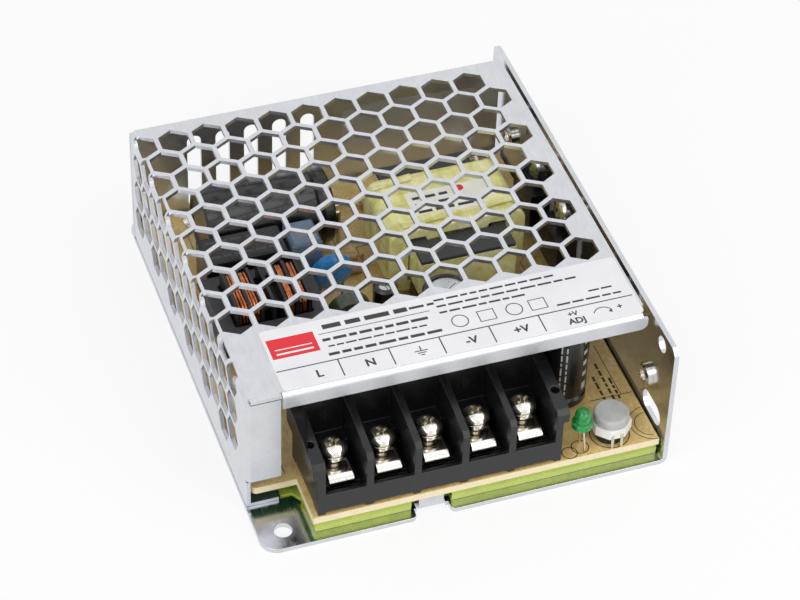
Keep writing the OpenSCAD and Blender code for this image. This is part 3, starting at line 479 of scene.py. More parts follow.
def printed_ink(name, tone, rough=0.5):
    """Screen-printed ink: flat colour with a slightly uneven lay-down."""
    thin = tuple(min(1.0, c * 1.25 + 0.01) for c in tone[:3]) + (1.0,)
    return one_grain(name, (5.0, 3), (tone, thin), (rough - 0.05, rough + 0.1), (0.45, 0.75))


def shrink_sleeve(name, tone):
    """PVC or PET shrink sleeve: glossy, with long shallow ripples where it shrank."""
    material, tree, shader = start_material(name, Coat_Weight=0.35, Coat_Roughness=0.12)
    ripple = noise(tree, object_point(tree, (0.5, 1, 1)), 0.7, 2)
    dust = noise(tree, object_point(tree), 7.0, 3)
    finish_surface(tree, shader, blend_colours(tree, dust, tone, colour("1A1A1D"), 0.5, 0.95),
                   spread(tree, dust, 0.24, 0.36))
    bump(tree, shader, ripple, 0.12, 0.5)
    return material


def board_laminate(name):
    """CEM laminate: tan lacquered face with soft fibre clouds, cream sawn edges, green mask below."""
    material, tree, shader = start_material(name, IOR=1.5, Coat_Weight=0.25, Coat_Roughness=0.15)
    clouds = noise(tree, object_point(tree), 0.35, 5)
    # The glass weave is about half a millimetre
    weave = noise(tree, object_point(tree, (1, 0.35, 1)), 3.0, 4)
    layers = noise(tree, object_point(tree, (1, 1, 5)), 2.0, 4)
    face = blend_colours(tree, clouds, colour("D2B26C"), colour("E8CE90"))
    threads = blend_colours(tree, weave, colour("E8E0D0"), colour("FFFFFF"), 0.3, 0.6)
    face = mix_colours(tree, 1.0, face, threads, "MULTIPLY")
    edge = blend_colours(tree, layers, colour("DCCBA0"), colour("F0E6C8"))
    normal = add(tree, "ShaderNodeNewGeometry").outputs["Normal"]
    up = add(tree, "ShaderNodeSeparateXYZ", {"Vector": normal}).outputs["Z"]
    upper = mix_colours(tree, spread(tree, up, 0, 1, 0.4, 0.6), edge, face)
    whole = mix_colours(tree, spread(tree, up, 1, 0, -0.6, -0.4), upper, colour("1F6B3C"))
    finish_surface(tree, shader, whole, spread(tree, weave, 0.32, 0.45))
    bump(tree, shader, weave, 0.01, 0.6)
    return material


def polyester_film(name, tone, deep, rough, clear):
    """Polyester film: glossy, partly see-through, with faint handling waves."""
    return one_grain(name, (0.3, 3), (deep, tone), (rough, rough + 0.1), relief=(0.15, 0.4), IOR=1.58,
                     Coat_Weight=0.3, Coat_Roughness=0.06, Transmission_Weight=clear)


def winding_tape(name):
    """Yellow polyester tape: glossy layers whose edges and wrinkles show as shallow steps."""
    material, tree, shader = start_material(
        name, IOR=1.58, Coat_Weight=0.6, Coat_Roughness=0.08, Subsurface_Weight=0.15,
        Subsurface_Radius=(0.002, 0.0018, 0.0006))
    wrinkle = noise(tree, object_point(tree, (1, 0.3, 1)), 0.45, 4, 0.5, 0.4)
    # Tape layers end every few millimetres
    layers = add(tree, "ShaderNodeTexWave", {
        "Vector": object_point(tree), "Scale": 0.06, "Distortion": 2.2, "Detail": 2.0}, bands_direction="Y")
    tone = blend_colours(tree, wrinkle, colour("E6E07E"), colour("F8F5BE"), 0.35, 0.65)
    shade = blend_colours(tree, layers.outputs["Fac"], colour("EBE9CE"), colour("FFFFFF"), 0.2, 0.5)
    finish_surface(tree, shader, mix_colours(tree, 1.0, tone, shade, "MULTIPLY"),
                   spread(tree, wrinkle, 0.12, 0.3))
    bump(tree, shader, wrinkle, 0.35, 0.5)
    return material


def sintered_ferrite(name):
    """Sintered ferrite: charcoal grey, matt, with a fine gritty grain and ground faces."""
    return one_grain(name, (5.0, 6, 0.7), (colour("1B1B1E"), colour("3A3A3F")), (0.45, 0.7),
                     relief=(0.03,), IOR=1.6)


def enamelled_copper(name):
    """Enamelled copper wire: orange metal under clear varnish, darker where the enamel is thick."""
    return one_grain(name, (0.8, 4), (colour("A04E22"), colour("E08A52")), (0.18, 0.3),
                     Metallic=1.0, Coat_Weight=0.5, Coat_Roughness=0.08)


def dipped_coating(name, tone, deep):
    """Dipped epoxy coating: thick, smooth and glossy, with a slight orange peel."""
    return one_grain(name, (1.1, 3), (deep, tone), (0.25, 0.38), relief=(0.06, 0.6),
                     IOR=1.52, Coat_Weight=0.4, Coat_Roughness=0.1)


def label_stock(name):
    """Printed polyester label: white, smooth, with a dull sheen."""
    material, tree, shader = start_material(name, IOR=1.5)
    clouds = noise(tree, object_point(tree), 0.12, 3)
    fine = noise(tree, object_point(tree), 4.0, 2)
    finish_surface(tree, shader, blend_colours(tree, clouds, colour("E2E2E6"), colour("EBEBEE")),
                   spread(tree, fine, 0.34, 0.42))
    return material


def tinted_lens(name):
    """Green diffused epoxy of an indicator: cloudy, lets light through and glows at its edges."""
    return one_grain(name, (0.9, 3), (colour("14883C"), colour("3CC468")), IOR=1.5, Roughness=0.16,
                     Transmission_Weight=0.35, Subsurface_Weight=0.4,
                     Subsurface_Radius=(0.0004, 0.002, 0.0006))


def clear_film(name):
    """Clear polyester barrier: nearly invisible, seen by its gloss and edges."""
    return one_grain(name, (0.2, 2), (colour("E6EAE6"), colour("F6F8F6")), IOR=1.45, Roughness=0.06,
                     Alpha=0.06)


def solder(name):
    """Tin solder: bright, softly rippled domes."""
    return one_grain(name, (1.6, 3), (colour("A9ABAE"), colour("DADCDD")), (0.18, 0.34),
                     relief=(0.05, 0.6), Metallic=1.0)


finishes = {}


def make_finishes():
    """Makes every material once; the pieces share them."""
    look = bpy.context.scene.supply_look
    plate = tuple(look.sheet_colour) + (1.0,)
    finishes.update({
        "chassis": zinc_plated_sheet("zinc-plated steel, chassis", plate, colour("D2D4D9"), look.sheet_gloss),
        "cover": zinc_plated_sheet(
            "zinc-plated steel, cover", plate, colour("D6D8DD"), look.sheet_gloss + 0.16),
        "nickel": plated_hardware("nickel-plated steel", colour("F0ECE2"), 0.1),
        "zinc": plated_hardware("zinc-plated steel, spacers and screws", colour("C9CACC"), 0.24),
        "tin": plated_hardware("tin-plated brass", colour("D8CFB8"), 0.2),
        "label": label_stock("white polyester label"),
        "print_black": printed_ink("black screen ink", colour("2A2A2C")),
        "print_red": printed_ink("red screen ink", tuple(look.block_colour) + (1.0,), 0.4),
        "print_white": printed_ink("white screen ink", colour("A9ABAE")),
        "print_faint": printed_ink("worn grey sleeve ink", colour("3E3F42")),
        "print_brown": printed_ink("dark brown board ink", colour("3A2A18")),
        "film": polyester_film(
            "yellow-green polyester film", tuple(look.film_colour) + (1.0,), colour("B3C53E"), 0.2, 0.12),
        "board": board_laminate("CEM board laminate"),
        "black": moulded_plastic("black PBT moulding", colour("17181A"), colour("101113"), 0.3),
        "black_gloss": moulded_plastic("black phenolic bobbin", colour("1C1C1E"), colour("121214"), 0.3),
        "white_part": moulded_plastic("white nylon", colour("ECECE8"), colour("DEDED8"), 0.4),
        "knob": moulded_plastic("grey acetal knob", colour("B8B8B6"), colour("A6A6A4"), 0.45, 3.0, 0.02),
        "sleeve": shrink_sleeve("black shrink sleeve", colour("08080A")),
        "dark_case": moulded_plastic("black epoxy-filled case", colour("141518"), colour("0D0E10"), 0.26),
        "blue_case": moulded_plastic("grey-blue epoxy-filled case", colour("6C7E94"), colour("5C6D82"), 0.34),
        "blue": dipped_coating("blue dipped epoxy", colour("3C95D8"), colour("2473BC")),
        "olive": dipped_coating("dark green dipped epoxy", colour("3A4A30"), colour("26321F")),
        "tan_coat": dipped_coating("tan resistor lacquer", colour("C7A274"), colour("AE8858")),
        "ceramic": dipped_coating("white ceramic", colour("E8E4D6"), colour("D8D2C0")),
        "ferrite": sintered_ferrite("sintered ferrite"),
        "copper": enamelled_copper("enamelled copper wire"),
        "tape": winding_tape("yellow polyester winding tape"),
        "paper": printed_ink("white paper tag", colour("EFEDE2"), 0.7),
        "iron_powder": moulded_plastic(
            "yellow-coated iron powder", colour("CFC458"), colour("B6AA40"), 0.5, 3.0, 0.05),
        "pad": moulded_plastic("grey silicone pad", colour("B4B4B0"), colour("9E9E9A"), 0.7),
        "lens": tinted_lens("green diffused epoxy"),
        "clear": clear_film("clear polyester barrier"),
        "solder": solder("tin solder"),
        "aluminium": zinc_plated_sheet(
            "bare aluminium can", colour("D9DADC"), colour("C4C6C9"), 0.3, (1, 1, 1)),
    })


# ---- Settings ----


class SupplyLook(bpy.types.PropertyGroup):
    """Colours and finishes that a user may want to change."""

    sheet_colour: bpy.props.FloatVectorProperty(
        name="Sheet metal", description="Colour of the plated chassis and cover",
        subtype="COLOR", size=3, min=0, max=1, default=colour("DEE0E5")[:3])
    sheet_gloss: bpy.props.FloatProperty(
        name="Sheet roughness", description="Roughness of the chassis; the cover is a little duller",
        subtype="FACTOR", min=0.05, max=0.6, default=0.2)
    film_colour: bpy.props.FloatVectorProperty(
        name="Insulation film", description="Colour of the film under the board",
        subtype="COLOR", size=3, min=0, max=1, default=colour("C3D24E")[:3])
    block_colour: bpy.props.FloatVectorProperty(
        name="Label block", description="Colour of the plain block at the label's left",
        subtype="COLOR", size=3, min=0, max=1, default=colour("D8232E")[:3])


class SupplySizes(bpy.types.PropertyGroup):
    """Sizes of the details that the looks add to the frame."""

    edge_rounding: bpy.props.FloatProperty(
        name="Sheet edge rounding", description="Radius on the chassis's edges, in millimetres",
        min=0.02, max=0.2, default=0.08)
    line_wire: bpy.props.FloatProperty(
        name="Line choke wire", description="Wire diameter of the line choke, in millimetres",
        min=0.3, max=0.8, default=0.58)
    output_wire: bpy.props.FloatProperty(
        name="Output choke wire", description="Wire diameter of the output choke, in millimetres",
        min=0.4, max=1.2, default=0.8)
    output_turns: bpy.props.IntProperty(
        name="Output choke turns", description="Turns wound on the output choke's ring",
        min=8, max=40, default=17)


# ---- Stage ----


class SUPPLY_OT_stage(bpy.types.Operator):
    """Camera, floor, backdrop and soft studio light"""

    bl_idname = "supply.stage"
    bl_label = "Studio stage"

    def execute(self, context):
        make_camera()
        make_floor()
        make_world()
        make_lamps()
        return {"FINISHED"}


def make_camera():
    """Camera at the viewing place, in metres in the frame's axes."""
    place = Vector((-0.1481, -0.4086, 0.4151))
    forward = Vector((0.25339, 0.68694, -0.68110)).normalized()
    right = Vector((0.94587, -0.32352, 0.02559))
    up = right.cross(forward).normalized()
    right = forward.cross(up)
    data = bpy.data.cameras.new("studio camera")
    data.sensor_width = 36
    data.lens = 132.98
    data.clip_start = 0.01
    data.clip_end = 20
    camera = bpy.data.objects.new("studio camera", data)
    turn = Matrix((right, up, -forward)).transposed().to_4x4()
    camera.matrix_world = Matrix.Translation(place) @ turn
    bpy.context.scene.collection.objects.link(camera)
    bpy.context.scene.camera = camera


def make_floor():
    """A wide pale floor that shows white yet keeps the object's shadow."""
    bm = bmesh.new()
    reach = 6000
    thickness = 1.0
    # The floor lies just under the object, so that no two faces share one place
    add_slab(bm, [(-reach, -reach), (reach, -reach), (reach, reach), (-reach, reach)], -1.02, thickness)
    mesh = mesh_from(bm, "floor")
    material, tree, shader = start_material("pale studio floor", Roughness=0.8)
    shader.inputs["Base Color"].default_value = colour("F2F2F2")
    seen = add(tree, "ShaderNodeLightPath").outputs
    shown = combine(tree, "MAXIMUM", seen["Is Camera Ray"], seen["Is Glossy Ray"])
    share = combine(tree, "MULTIPLY", shown, 0.75)
    glow = add(tree, "ShaderNodeEmission", {"Color": (1, 1, 1, 1), "Strength": 1.0})
    mixed = add(tree, "ShaderNodeMixShader", {0: share, 1: shader.outputs[0], 2: glow.outputs[0]})
    tree.links.new(mixed.outputs[0], tree.nodes["Material Output"].inputs["Surface"])
    mesh.materials.append(material)
    new_holder("floor", mesh)


def make_world():
    """White to the eye and in reflections, softer as light."""
    world = bpy.data.worlds.new("studio")
    world.use_nodes = True
    tree = world.node_tree
    background = tree.nodes["Background"]
    seen = add(tree, "ShaderNodeLightPath").outputs
    shown = combine(tree, "MAXIMUM", seen["Is Camera Ray"], seen["Is Transmission Ray"])
    mirrored = combine(tree, "MULTIPLY", seen["Is Glossy Ray"], 0.96)
    level = combine(tree, "MAXIMUM", shown, mirrored)
    tree.links.new(combine(tree, "MAXIMUM", level, 0.55), background.inputs["Strength"])
    background.inputs["Color"].default_value = (1, 1, 1, 1)
    bpy.context.scene.world = world


def make_lamps():
    """A broad key lamp from the upper left, a top lamp and a low fill."""
    for name, place, size, power in (
        ("key lamp", (-0.6, -0.5, 0.7), 0.9, 4.2),
        ("top lamp", (0.35, -0.25, 0.95), 0.9, 2.6),
        ("fill lamp", (0.5, -0.8, 0.35), 0.6, 2.4),
    ):
        data = bpy.data.lights.new(name, "AREA")
        data.shape = "DISK"
        data.size = size
        data.energy = power
        lamp = bpy.data.objects.new(name, data)
        lamp.location = place
        lamp.rotation_euler = (-Vector(place)).to_track_quat("-Z", "Y").to_euler()
        bpy.context.scene.collection.objects.link(lamp)
    view = bpy.context.scene.view_settings
    view.view_transform = "Standard"


# ---- Case and cover ----


class SUPPLY_OT_case(bpy.types.Operator):
    """Folded chassis, its nuts and the screws"""

    bl_idname = "supply.case"
    bl_label = "Chassis"

    def execute(self, context):
        sizes = context.scene.supply_sizes
        softened("chassis", finishes["chassis"], sizes.edge_rounding)
        make_side_nuts()
        dress("cover_screws", finishes["zinc"])
        dress("board_spacers", finishes["zinc"])
        dress("board_screws", finishes["nickel"])
        return {"FINISHED"}


def make_side_nuts():
    """Clinch nuts: a short chamfered ring inside the wall and a spigot through it."""
    low, high = box_mm("side_nuts")
    radius = (high.z - low.z) / 2
    height = (low.z + high.z) / 2
    wall = high.x - 1.0
    rim = radius - 0.45
    # Outline from the bore, round the ring and out to the wall's face
    outline = [(1.25, -1.1), (1.45, -1.3), (rim, -1.3), (radius, -0.95), (radius, -0.02),
               (rim, -0.02), (rim, 1.0), (1.25, 1.0)]
    steps = 48
    bm = bmesh.new()
    for y in (low.y + radius, high.y - radius):
        ring = bmesh.new()
        loops = []
        for i in range(steps):
            turn = 2 * math.pi * i / steps
            loops.append([ring.verts.new((wall + d, *around((y, height), r, turn))) for r, d in outline])
        add_skin(ring, loops + loops[:1], closed_ends=False)
        join_into(bm, ring)
    piece = new_piece("clinch_nuts", mesh_from(bm, "clinch_nuts", 30, outward=False), finishes["nickel"])
    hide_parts("side_nuts")


class SUPPLY_OT_cover(bpy.types.Operator):
    """Perforated cover, crisp at its punched edges"""

    bl_idname = "supply.cover"
    bl_label = "Perforated cover"

    def execute(self, context):
        dress("cover", finishes["cover"])
        return {"FINISHED"}


class SUPPLY_OT_label(bpy.types.Operator):
    """Label, its plain block, bars and terminal legend"""

    bl_idname = "supply.label"
    bl_label = "Label"

    def execute(self, context):
        dress("label", finishes["label"])
        print_label()
        return {"FINISHED"}


def print_label():
    """Prints the label: bars stand for the text, and only generic terminal marks are letters."""
    low, high = box_mm("label")
    z = high.z
    random.seed(7)
    ink = bmesh.new()
    # Legend row: a line, dividers and the generic marks over the terminals
    line_y = low.y + 5.0
    line_w = 0.24
    add_bar(ink, low.x + 0.2, line_y, high.x - 0.5, line_y + line_w, z)
    pitch = 10.05
    first = low.x + 12.0
    for i in range(TERMINALS):
        add_bar(ink, first + i * pitch, low.y + 0.5, first + i * pitch + line_w, line_y, z)
    centres = [first + (i - 0.42) * pitch for i in range(TERMINALS)]
    mark_y = low.y + 2.4
    for text, x in zip(("L", "N", "", "-V", "+V"), centres):
        if text:
            lettering(ink, text, 2.6, (x, mark_y), z)
    print_earth(ink, centres[2], mark_y + 0.2, z)
    last = first + 4 * pitch
    lettering(ink, "+V", 1.7, (last + 6.6, mark_y + 1.1), z)
    lettering(ink, "ADJ", 2.1, (last + 6.8, mark_y - 0.9), z)
    print_turn_arrow(ink, (last + 12.4, mark_y + 0.2), z)
    # Upper part: a heading, a ruled line and blocks of text, all as bars
    add_bar(ink, low.x + 10.8, low.y + 12.4, low.x + 33.0, low.y + 12.55, z)
    for x, y, length, height, heavy in (
        (12.0, 13.6, 17.0, 1.5, True), (29.4, 13.9, 5.0, 1.0, False), (11.0, 10.4, 21.5, 0.9, True),
        (11.6, 8.7, 19.6, 0.65, False), (11.0, 6.4, 22.5, 0.9, True), (34.6, 14.6, 24.5, 0.8, False),
        (34.6, 12.85, 28.5, 0.8, False), (34.6, 11.1, 17.5, 0.8, False), (56.8, 6.4, 13.2, 0.75, False),
        (64.0, 8.4, 5.6, 0.7, False),
    ):
        print_words(ink, low.x + x, low.y + y, length, height, z, heavy)
    # Plain circles and squares in the place of badges
    for x in (37.6, 48.6):
        add_arc(ink, (low.x + x, low.y + 8.1), 1.6, 0.2, z)
    for x in (43.0, 53.4):
        print_frame(ink, (low.x + x - 1.7, low.y + 6.6), (low.x + x + 1.7, low.y + 9.6), z)
    new_ink("label_print", ink, "print_black", "label")
    block = bmesh.new()
    add_bar(block, low.x + 0.6, low.y + 8.4, low.x + 9.9, low.y + 13.7, z)
    new_ink("label_colour_block", block, "print_red", "label")
    bars = bmesh.new()
    for bottom, top in ((10.55, 10.8), (9.25, 9.7)):
        add_bar(bars, low.x + 1.6, low.y + bottom, low.x + 8.9, low.y + top, z + INK)
    new_ink("label_block_bars", bars, "label", "label")


def new_ink(name, bm, finish, node):
    """Finishes a printed piece that lies on a CAD node."""
    piece = new_piece(name, mesh_from(bm, name, 20), finishes[finish], body_of(node))
    return piece


def print_words(bm, x, y, length, height, z, heavy=False):
    """Bars in word lengths that stand for a line of text."""
    at = x
    while at < x + length - 0.5:
        word = min(random.uniform(1.6, 4.2) * height, x + length - at)
        thick = height * (0.8 if heavy else 0.6)
        add_bar(bm, at, y, at + word, y + thick, z)
        at += word + 0.6 * height


def print_frame(bm, low, high, z, width=0.18):
    """A plain rectangular outline."""
    add_bar(bm, low[0], low[1], high[0], low[1] + width, z)
    add_bar(bm, low[0], high[1] - width, high[0], high[1], z)
    add_bar(bm, low[0], low[1] + width, low[0] + width, high[1] - width, z)
    add_bar(bm, high[0] - width, low[1] + width, high[0], high[1] - width, z)


def print_earth(bm, x, y, z):
    """The earth sign: a stem and three shortening lines."""
    add_bar(bm, x - 0.12, y + 0.1, x + 0.12, y + 1.3, z)
    for i, half in enumerate((1.3, 0.85, 0.4)):
        add_bar(bm, x - half, y - 0.55 * i - 0.12, x + half, y - 0.55 * i + 0.1, z)


def print_turn_arrow(bm, centre, z):
    """An arc with an arrowhead and a plus sign, for the trimmer."""
    x, y = centre
    add_arc(bm, (x, y - 1.0), 2.0, 0.2, z, 25, 155, steps=20)
    tip = (x + 1.9, y - 0.6)
    head = [(tip[0] - 0.1, tip[1] - 0.2), (tip[0] - 0.1, tip[1] + 0.75), (tip[0] - 0.85, tip[1] + 0.15)]
    add_slab(bm, head, z, INK)
    lettering(bm, "+", 1.9, (x + 3.6, y + 0.2), z)


# ---- Board ----


class SUPPLY_OT_board(bpy.types.Operator):
    """Board, its ink and solder, and the film folded under it"""

    bl_idname = "supply.board"
    bl_label = "Board and film"

    def execute(self, context):
        softened("circuit_board", finishes["board"], 0.05)
        fold_film()
        print_board()
        make_solder()
        return {"FINISHED"}


def fold_film():
    """Stands the film's walls a little behind the board's edge, so that the floor shows before them."""
    piece = softened("insulation_film", finishes["film"], 0.05, angle=30)
    front = BOARD_LOW.y + 1.0
    side = box_mm("terminal_block")[0].x + 0.6
    side_end = BOARD_LOW.y + 11.5
    for vert in piece.data.vertices:
        x, y, z = vert.co / MM
        # The walls lean back over the first 0.4 mm above the floor of the case
        lean = 0.25 * min(1.0, max(0.0, (z - 1.35) / 0.4))
        if y < front:
            vert.co.y += (1.5 + lean) * MM
        if x < side and y < side_end:
            vert.co.x += (1.3 + lean) * MM


def print_board():
    """Component outlines and plain bars printed on the board."""
    z = BOARD_TOP
    line_w = 0.16
    ink = bmesh.new()
    random.seed(11)
    right, front = BOARD_HIGH.x, BOARD_LOW.y
    led = middle("indicator_led")
    trimmer = middle("trimmer_knob")

    def ring(x, y, radius, width=0.2):
        add_arc(ink, (x, y), radius, width, z, thickness=BOARD_INK)

    def line(x0, y0, x1, y1):
        add_stroke(ink, (x0, y0), (x1, y1), line_w, z, BOARD_INK)

    ring(led.x, led.y, 1.7)
    ring(trimmer.x, trimmer.y, 3.9)
    # A test pad ringed beside the terminal block
    ring(led.x - 2.5, led.y - 0.9, 1.5)
    # Two sweeping marks round the corner, and the outline of a component by the wall
    add_arc(ink, (right + 0.4, front + 4.6), 4.6, line_w, z, 100, 262, BOARD_INK)
    add_arc(ink, (right, front + 4.4), 3.2, line_w, z, 95, 258, BOARD_INK)
    line(right - 2.8, front + 8.6, right - 5.0, front + 8.8)
    line(right - 2.6, front + 13.4, right - 2.6, front + 28)
    line(right - 9.0, front + 13.6, right - 0.4, front + 13.6)
    # Bars in the place of text, running towards the rear
    start = front + 12.6
    for inset, length in ((6.4, 6.0), (4.6, 9.0), (3.4, 5.0)):
        at = start
        while at < start + length:
            word = random.uniform(0.8, 1.9)
            add_bar(ink, right - inset, at, right - inset + 0.5, at + word, z, BOARD_INK)
            at += word + 0.45
    # Outlines of the larger parts
    for node, margin in (("mains_capacitor", 0.7), ("film_capacitor", 0.6), ("bulk_capacitor", 0.8),
                         ("bridge_rectifier", 0.6), ("transformer_winding", 1.1), ("choke_core", 0.5)):
        low, high = box_mm(node)
        print_frame(ink, (low.x - margin, low.y - margin), (high.x + margin, high.y + margin), z, line_w)
    for node in ("output_choke_winding", "control_capacitor"):
        low, high = box_mm(node)
        centre = (low + high) / 2
        ring(centre.x, centre.y, (high.x - low.x) / 2 + 0.5, line_w)
    # Left tongue: a long line and short bars beside the terminal block
    low, high = box_mm("terminal_block")
    line(low.x - 1.6, low.y + 11.4, low.x - 1.6, high.y + 9)
    for i in range(4):
        y = high.y + 1.5 + 2.2 * i
        add_bar(ink, BOARD_LOW.x + 1.2, y, BOARD_LOW.x + 3.2, y + 0.4, z, BOARD_INK)
    new_ink("board_print", ink, "print_brown", "circuit_board")


def make_solder():
    """Solder domes under the board, at the legs of the through-hole parts."""
    spots = []
    for node in ("bulk_capacitor_leads", "fuse_leads", "led_leads"):
        low, high = box_mm(node)
        spots += [(low.x + 0.3, low.y + 0.3), (high.x - 0.3, high.y - 0.3)]
    low, high = box_mm("terminal_contacts")
    terminal_pitch = 9.5
    for i in range(TERMINALS):
        spots.append((low.x + 2.9 + terminal_pitch * i, high.y - 0.6))
    for node, count in (("bridge_rectifier", 4), ("transformer_bobbin", 5)):
        low, high = box_mm(node)
        for i in range(count):
            spots.append((low.x + (i + 0.5) * (high.x - low.x) / count, low.y + 1.2))
    bm = bmesh.new()
    z = BOARD_LOW.z
    profile = [(0, z - 0.75), (0.35, z - 0.7), (0.6, z - 0.45), (0.85, z - 0.15), (1.05, z), (0, z)]
    for spot in spots:
        add_lathe(bm, profile, spot, 20)
    piece = new_piece("solder_joints", mesh_from(bm, "solder_joints", 60), finishes["solder"])


# ---- Terminals ----


class SUPPLY_OT_terminals(bpy.types.Operator):
    """Terminal block, contacts, clamps and screws"""

    bl_idname = "supply.terminals"
    bl_label = "Terminal block"

    def execute(self, context):
        shape_block_front()
        dress("terminal_contacts", finishes["tin"])
        for i in range(1, TERMINALS + 1):
            softened(f"wire_clamp_{i}", finishes["nickel"], 0.12)
            make_terminal_screw(f"terminal_screw_{i}")
        return {"FINISHED"}


def shape_block_front():
    """Brings the sill and the ribs' noses to the board's front edge, and the rear locator holes back."""
    piece = softened("terminal_block", finishes["black"], 0.18, segments=3)
    low, high = box_mm("terminal_block")
    nose_depth, nose_reach = 1.05, 1.15
    end_width = 2.0
    hole_y, hole_reach, hole_shift = low.y + 8.4, 0.85, 4.4
    for vert in piece.data.vertices:
        x, y, z = vert.co / MM
        if y < low.y + nose_depth:
            vert.co.y -= nose_reach * MM
        at_end = x < low.x + end_width or x > high.x - end_width
        if at_end and abs(y - hole_y) < hole_reach and z > high.z - 4.0:
            vert.co.y += hole_shift * MM


def make_terminal_screw(node):
    """Screw with a dished cross recess, a split spring washer and a rolled thread."""
    low, high = box_mm(node)
    at = ((low.x + high.x) / 2, (low.y + high.y) / 2)
    seat = high.z - 2.3
    whole = screw_head(node, at, (high.x - low.x) / 2, seat, high.z)
    join_into(whole, spring_washer(at, seat))
    join_into(whole, threaded_shank(at, low.z, seat))
    name = node + "_finished"
    piece = new_piece(name, mesh_from(whole, name, 38, outward=False), finishes["nickel"], body_of(node))
    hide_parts(node)


def screw_head(node, at, radius, seat, top):
    """A dome that rolls over to a rounded rim, with the two arms of a cross cut one after the other."""
    crown = [(0, seat), (radius - 0.35, seat), (radius - 0.12, seat + 0.1), (radius, seat + 0.4)]
    for i in range(10, -1, -1):
        turn = math.radians(9 * i)
        crown.append((radius * math.sin(turn), seat + 0.75 + 1.5 * math.cos(turn)))
    head = bmesh.new()
    add_lathe(head, crown, at, 48)
    for turn in (24, 114):
        arm = bmesh.new()
        add_box(arm, (-1.75, -0.42, -1.6), (1.75, 0.42, 0.5))
        # The arm tapers towards the bottom of the recess
        for vert in arm.verts:
            if vert.co.z < -1.0:
                vert.co.x *= 0.35
                vert.co.y *= 0.6
        swing = Matrix.Rotation(math.radians(turn), 3, "Z")
        bmesh.ops.rotate(arm, cent=(0, 0, 0), matrix=swing, verts=arm.verts)
        bmesh.ops.translate(arm, vec=(*at, top), verts=arm.verts)
        part = cut_mesh(head, arm, node + "_head")
        # An uncut or emptied head has fewer faces than this
        if len(part.polygons) < 60:
            raise RuntimeError("the recess of " + node + " could not be cut")
        head = bmesh.new()
        head.from_mesh(part)
        bpy.data.meshes.remove(part)
    return head


def spring_washer(at, seat):
    """A ring split by a small gap, one turn that rises as it runs."""
    washer = bmesh.new()
    steps = 44
    loops = []
    for i in range(steps + 1):
        turn = math.radians(10 + 340 * i / steps)
        lift = seat + 0.28 * i / steps
        corners = ((1.65, -0.95), (2.5, -0.95), (2.5, -0.4), (1.65, -0.4))
        loops.append([washer.verts.new((*around(at, r, turn), z + lift)) for r, z in corners])
    add_skin(washer, loops)
    return washer


def threaded_shank(at, foot, seat):
    """A shank with rolled ridges up to the plain neck under the head."""
    pitch = 0.5
    profile = [(0, foot), (1.05, foot), (1.25, foot + 0.2)]
    ridge = foot + 0.3
    while ridge < seat - 3.2:
        profile += [(1.24, ridge), (1.48, ridge + pitch / 2)]
        ridge += pitch
    profile += [(1.42, ridge), (1.42, seat + 0.02), (0, seat + 0.02)]
    shank = bmesh.new()
    add_lathe(shank, profile, at, 28)
    return shank


def join_into(whole, part):
    """Adds one bmesh to another, with its faces turned outwards."""
    bmesh.ops.recalc_face_normals(part, faces=part.faces)
    mesh = bpy.data.meshes.new("part")
    part.to_mesh(mesh)
    part.free()
    whole.from_mesh(mesh)
    bpy.data.meshes.remove(mesh)


def cut_mesh(solid_bm, cutter_bm, name):
    """Cuts one closed bmesh from another with an exact boolean and returns the mesh."""
    holders = []
    for label, bm in ((name, solid_bm), (name + "_cutter", cutter_bm)):
        bmesh.ops.recalc_face_normals(bm, faces=bm.faces)
        mesh = bpy.data.meshes.new(label)
        bm.to_mesh(mesh)
        bm.free()
        holders.append(new_holder(label, mesh))
    cut = holders[0].modifiers.new("cut", "BOOLEAN")
    cut.object = holders[1]
    cut.operation = "DIFFERENCE"
    cut.solver = "EXACT"
    result = plain_mesh(holders[0])
    for holder in holders:
        data = holder.data
        bpy.data.objects.remove(holder)
        bpy.data.meshes.remove(data)
    return result


class SUPPLY_OT_controls(bpy.types.Operator):
    """Indicator light and trimmer"""

    bl_idname = "supply.controls"
    bl_label = "Indicator and trimmer"

    def execute(self, context):
        make_indicator()
        softened("trimmer_base", finishes["white_part"], 0.12)
        make_trimmer_details()
        softened("trimmer_knob", finishes["knob"], 0.25, segments=4)
        return {"FINISHED"}


def make_indicator():
    """Light with a thick flange under its dome, on two bent leads."""
    low, high = box_mm("indicator_led")
    at = (low + high) / 2
    base = low.z + 1.1
    dome = 1.55
    profile = [(0, base), (1.9, base), (2.05, base + 0.15), (2.05, base + 1.25), (1.95, base + 1.4),
               (dome + 0.05, base + 1.5)]
    for i in range(9):
        turn = math.radians(10 * i)
        profile.append((dome * math.cos(turn), high.z - dome + dome * math.sin(turn)))
    profile.append((0, high.z))
    bm = bmesh.new()
    add_lathe(bm, profile, (at.x, at.y))
    piece = new_piece("indicator_finished", mesh_from(bm, "indicator_finished", 30), finishes["lens"])
    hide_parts("indicator_led")
    bm = bmesh.new()
    for lead in (-1.27, 1.27):
        x, y = at.x + 0.35, at.y + lead - 0.1
        bend = at.y + lead * 0.9
        corners = [(x, y, BOARD_TOP - 1.0), (x, y, BOARD_TOP + 0.8), (at.x, bend, base - 0.9),
                   (at.x, bend, base + 0.3)]
        add_tube(bm, rounded_path(corners, 0.5), 0.27, 8)
    piece = new_piece("indicator_leads", mesh_from(bm, "indicator_leads", 60), finishes["tin"])
    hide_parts("led_leads")


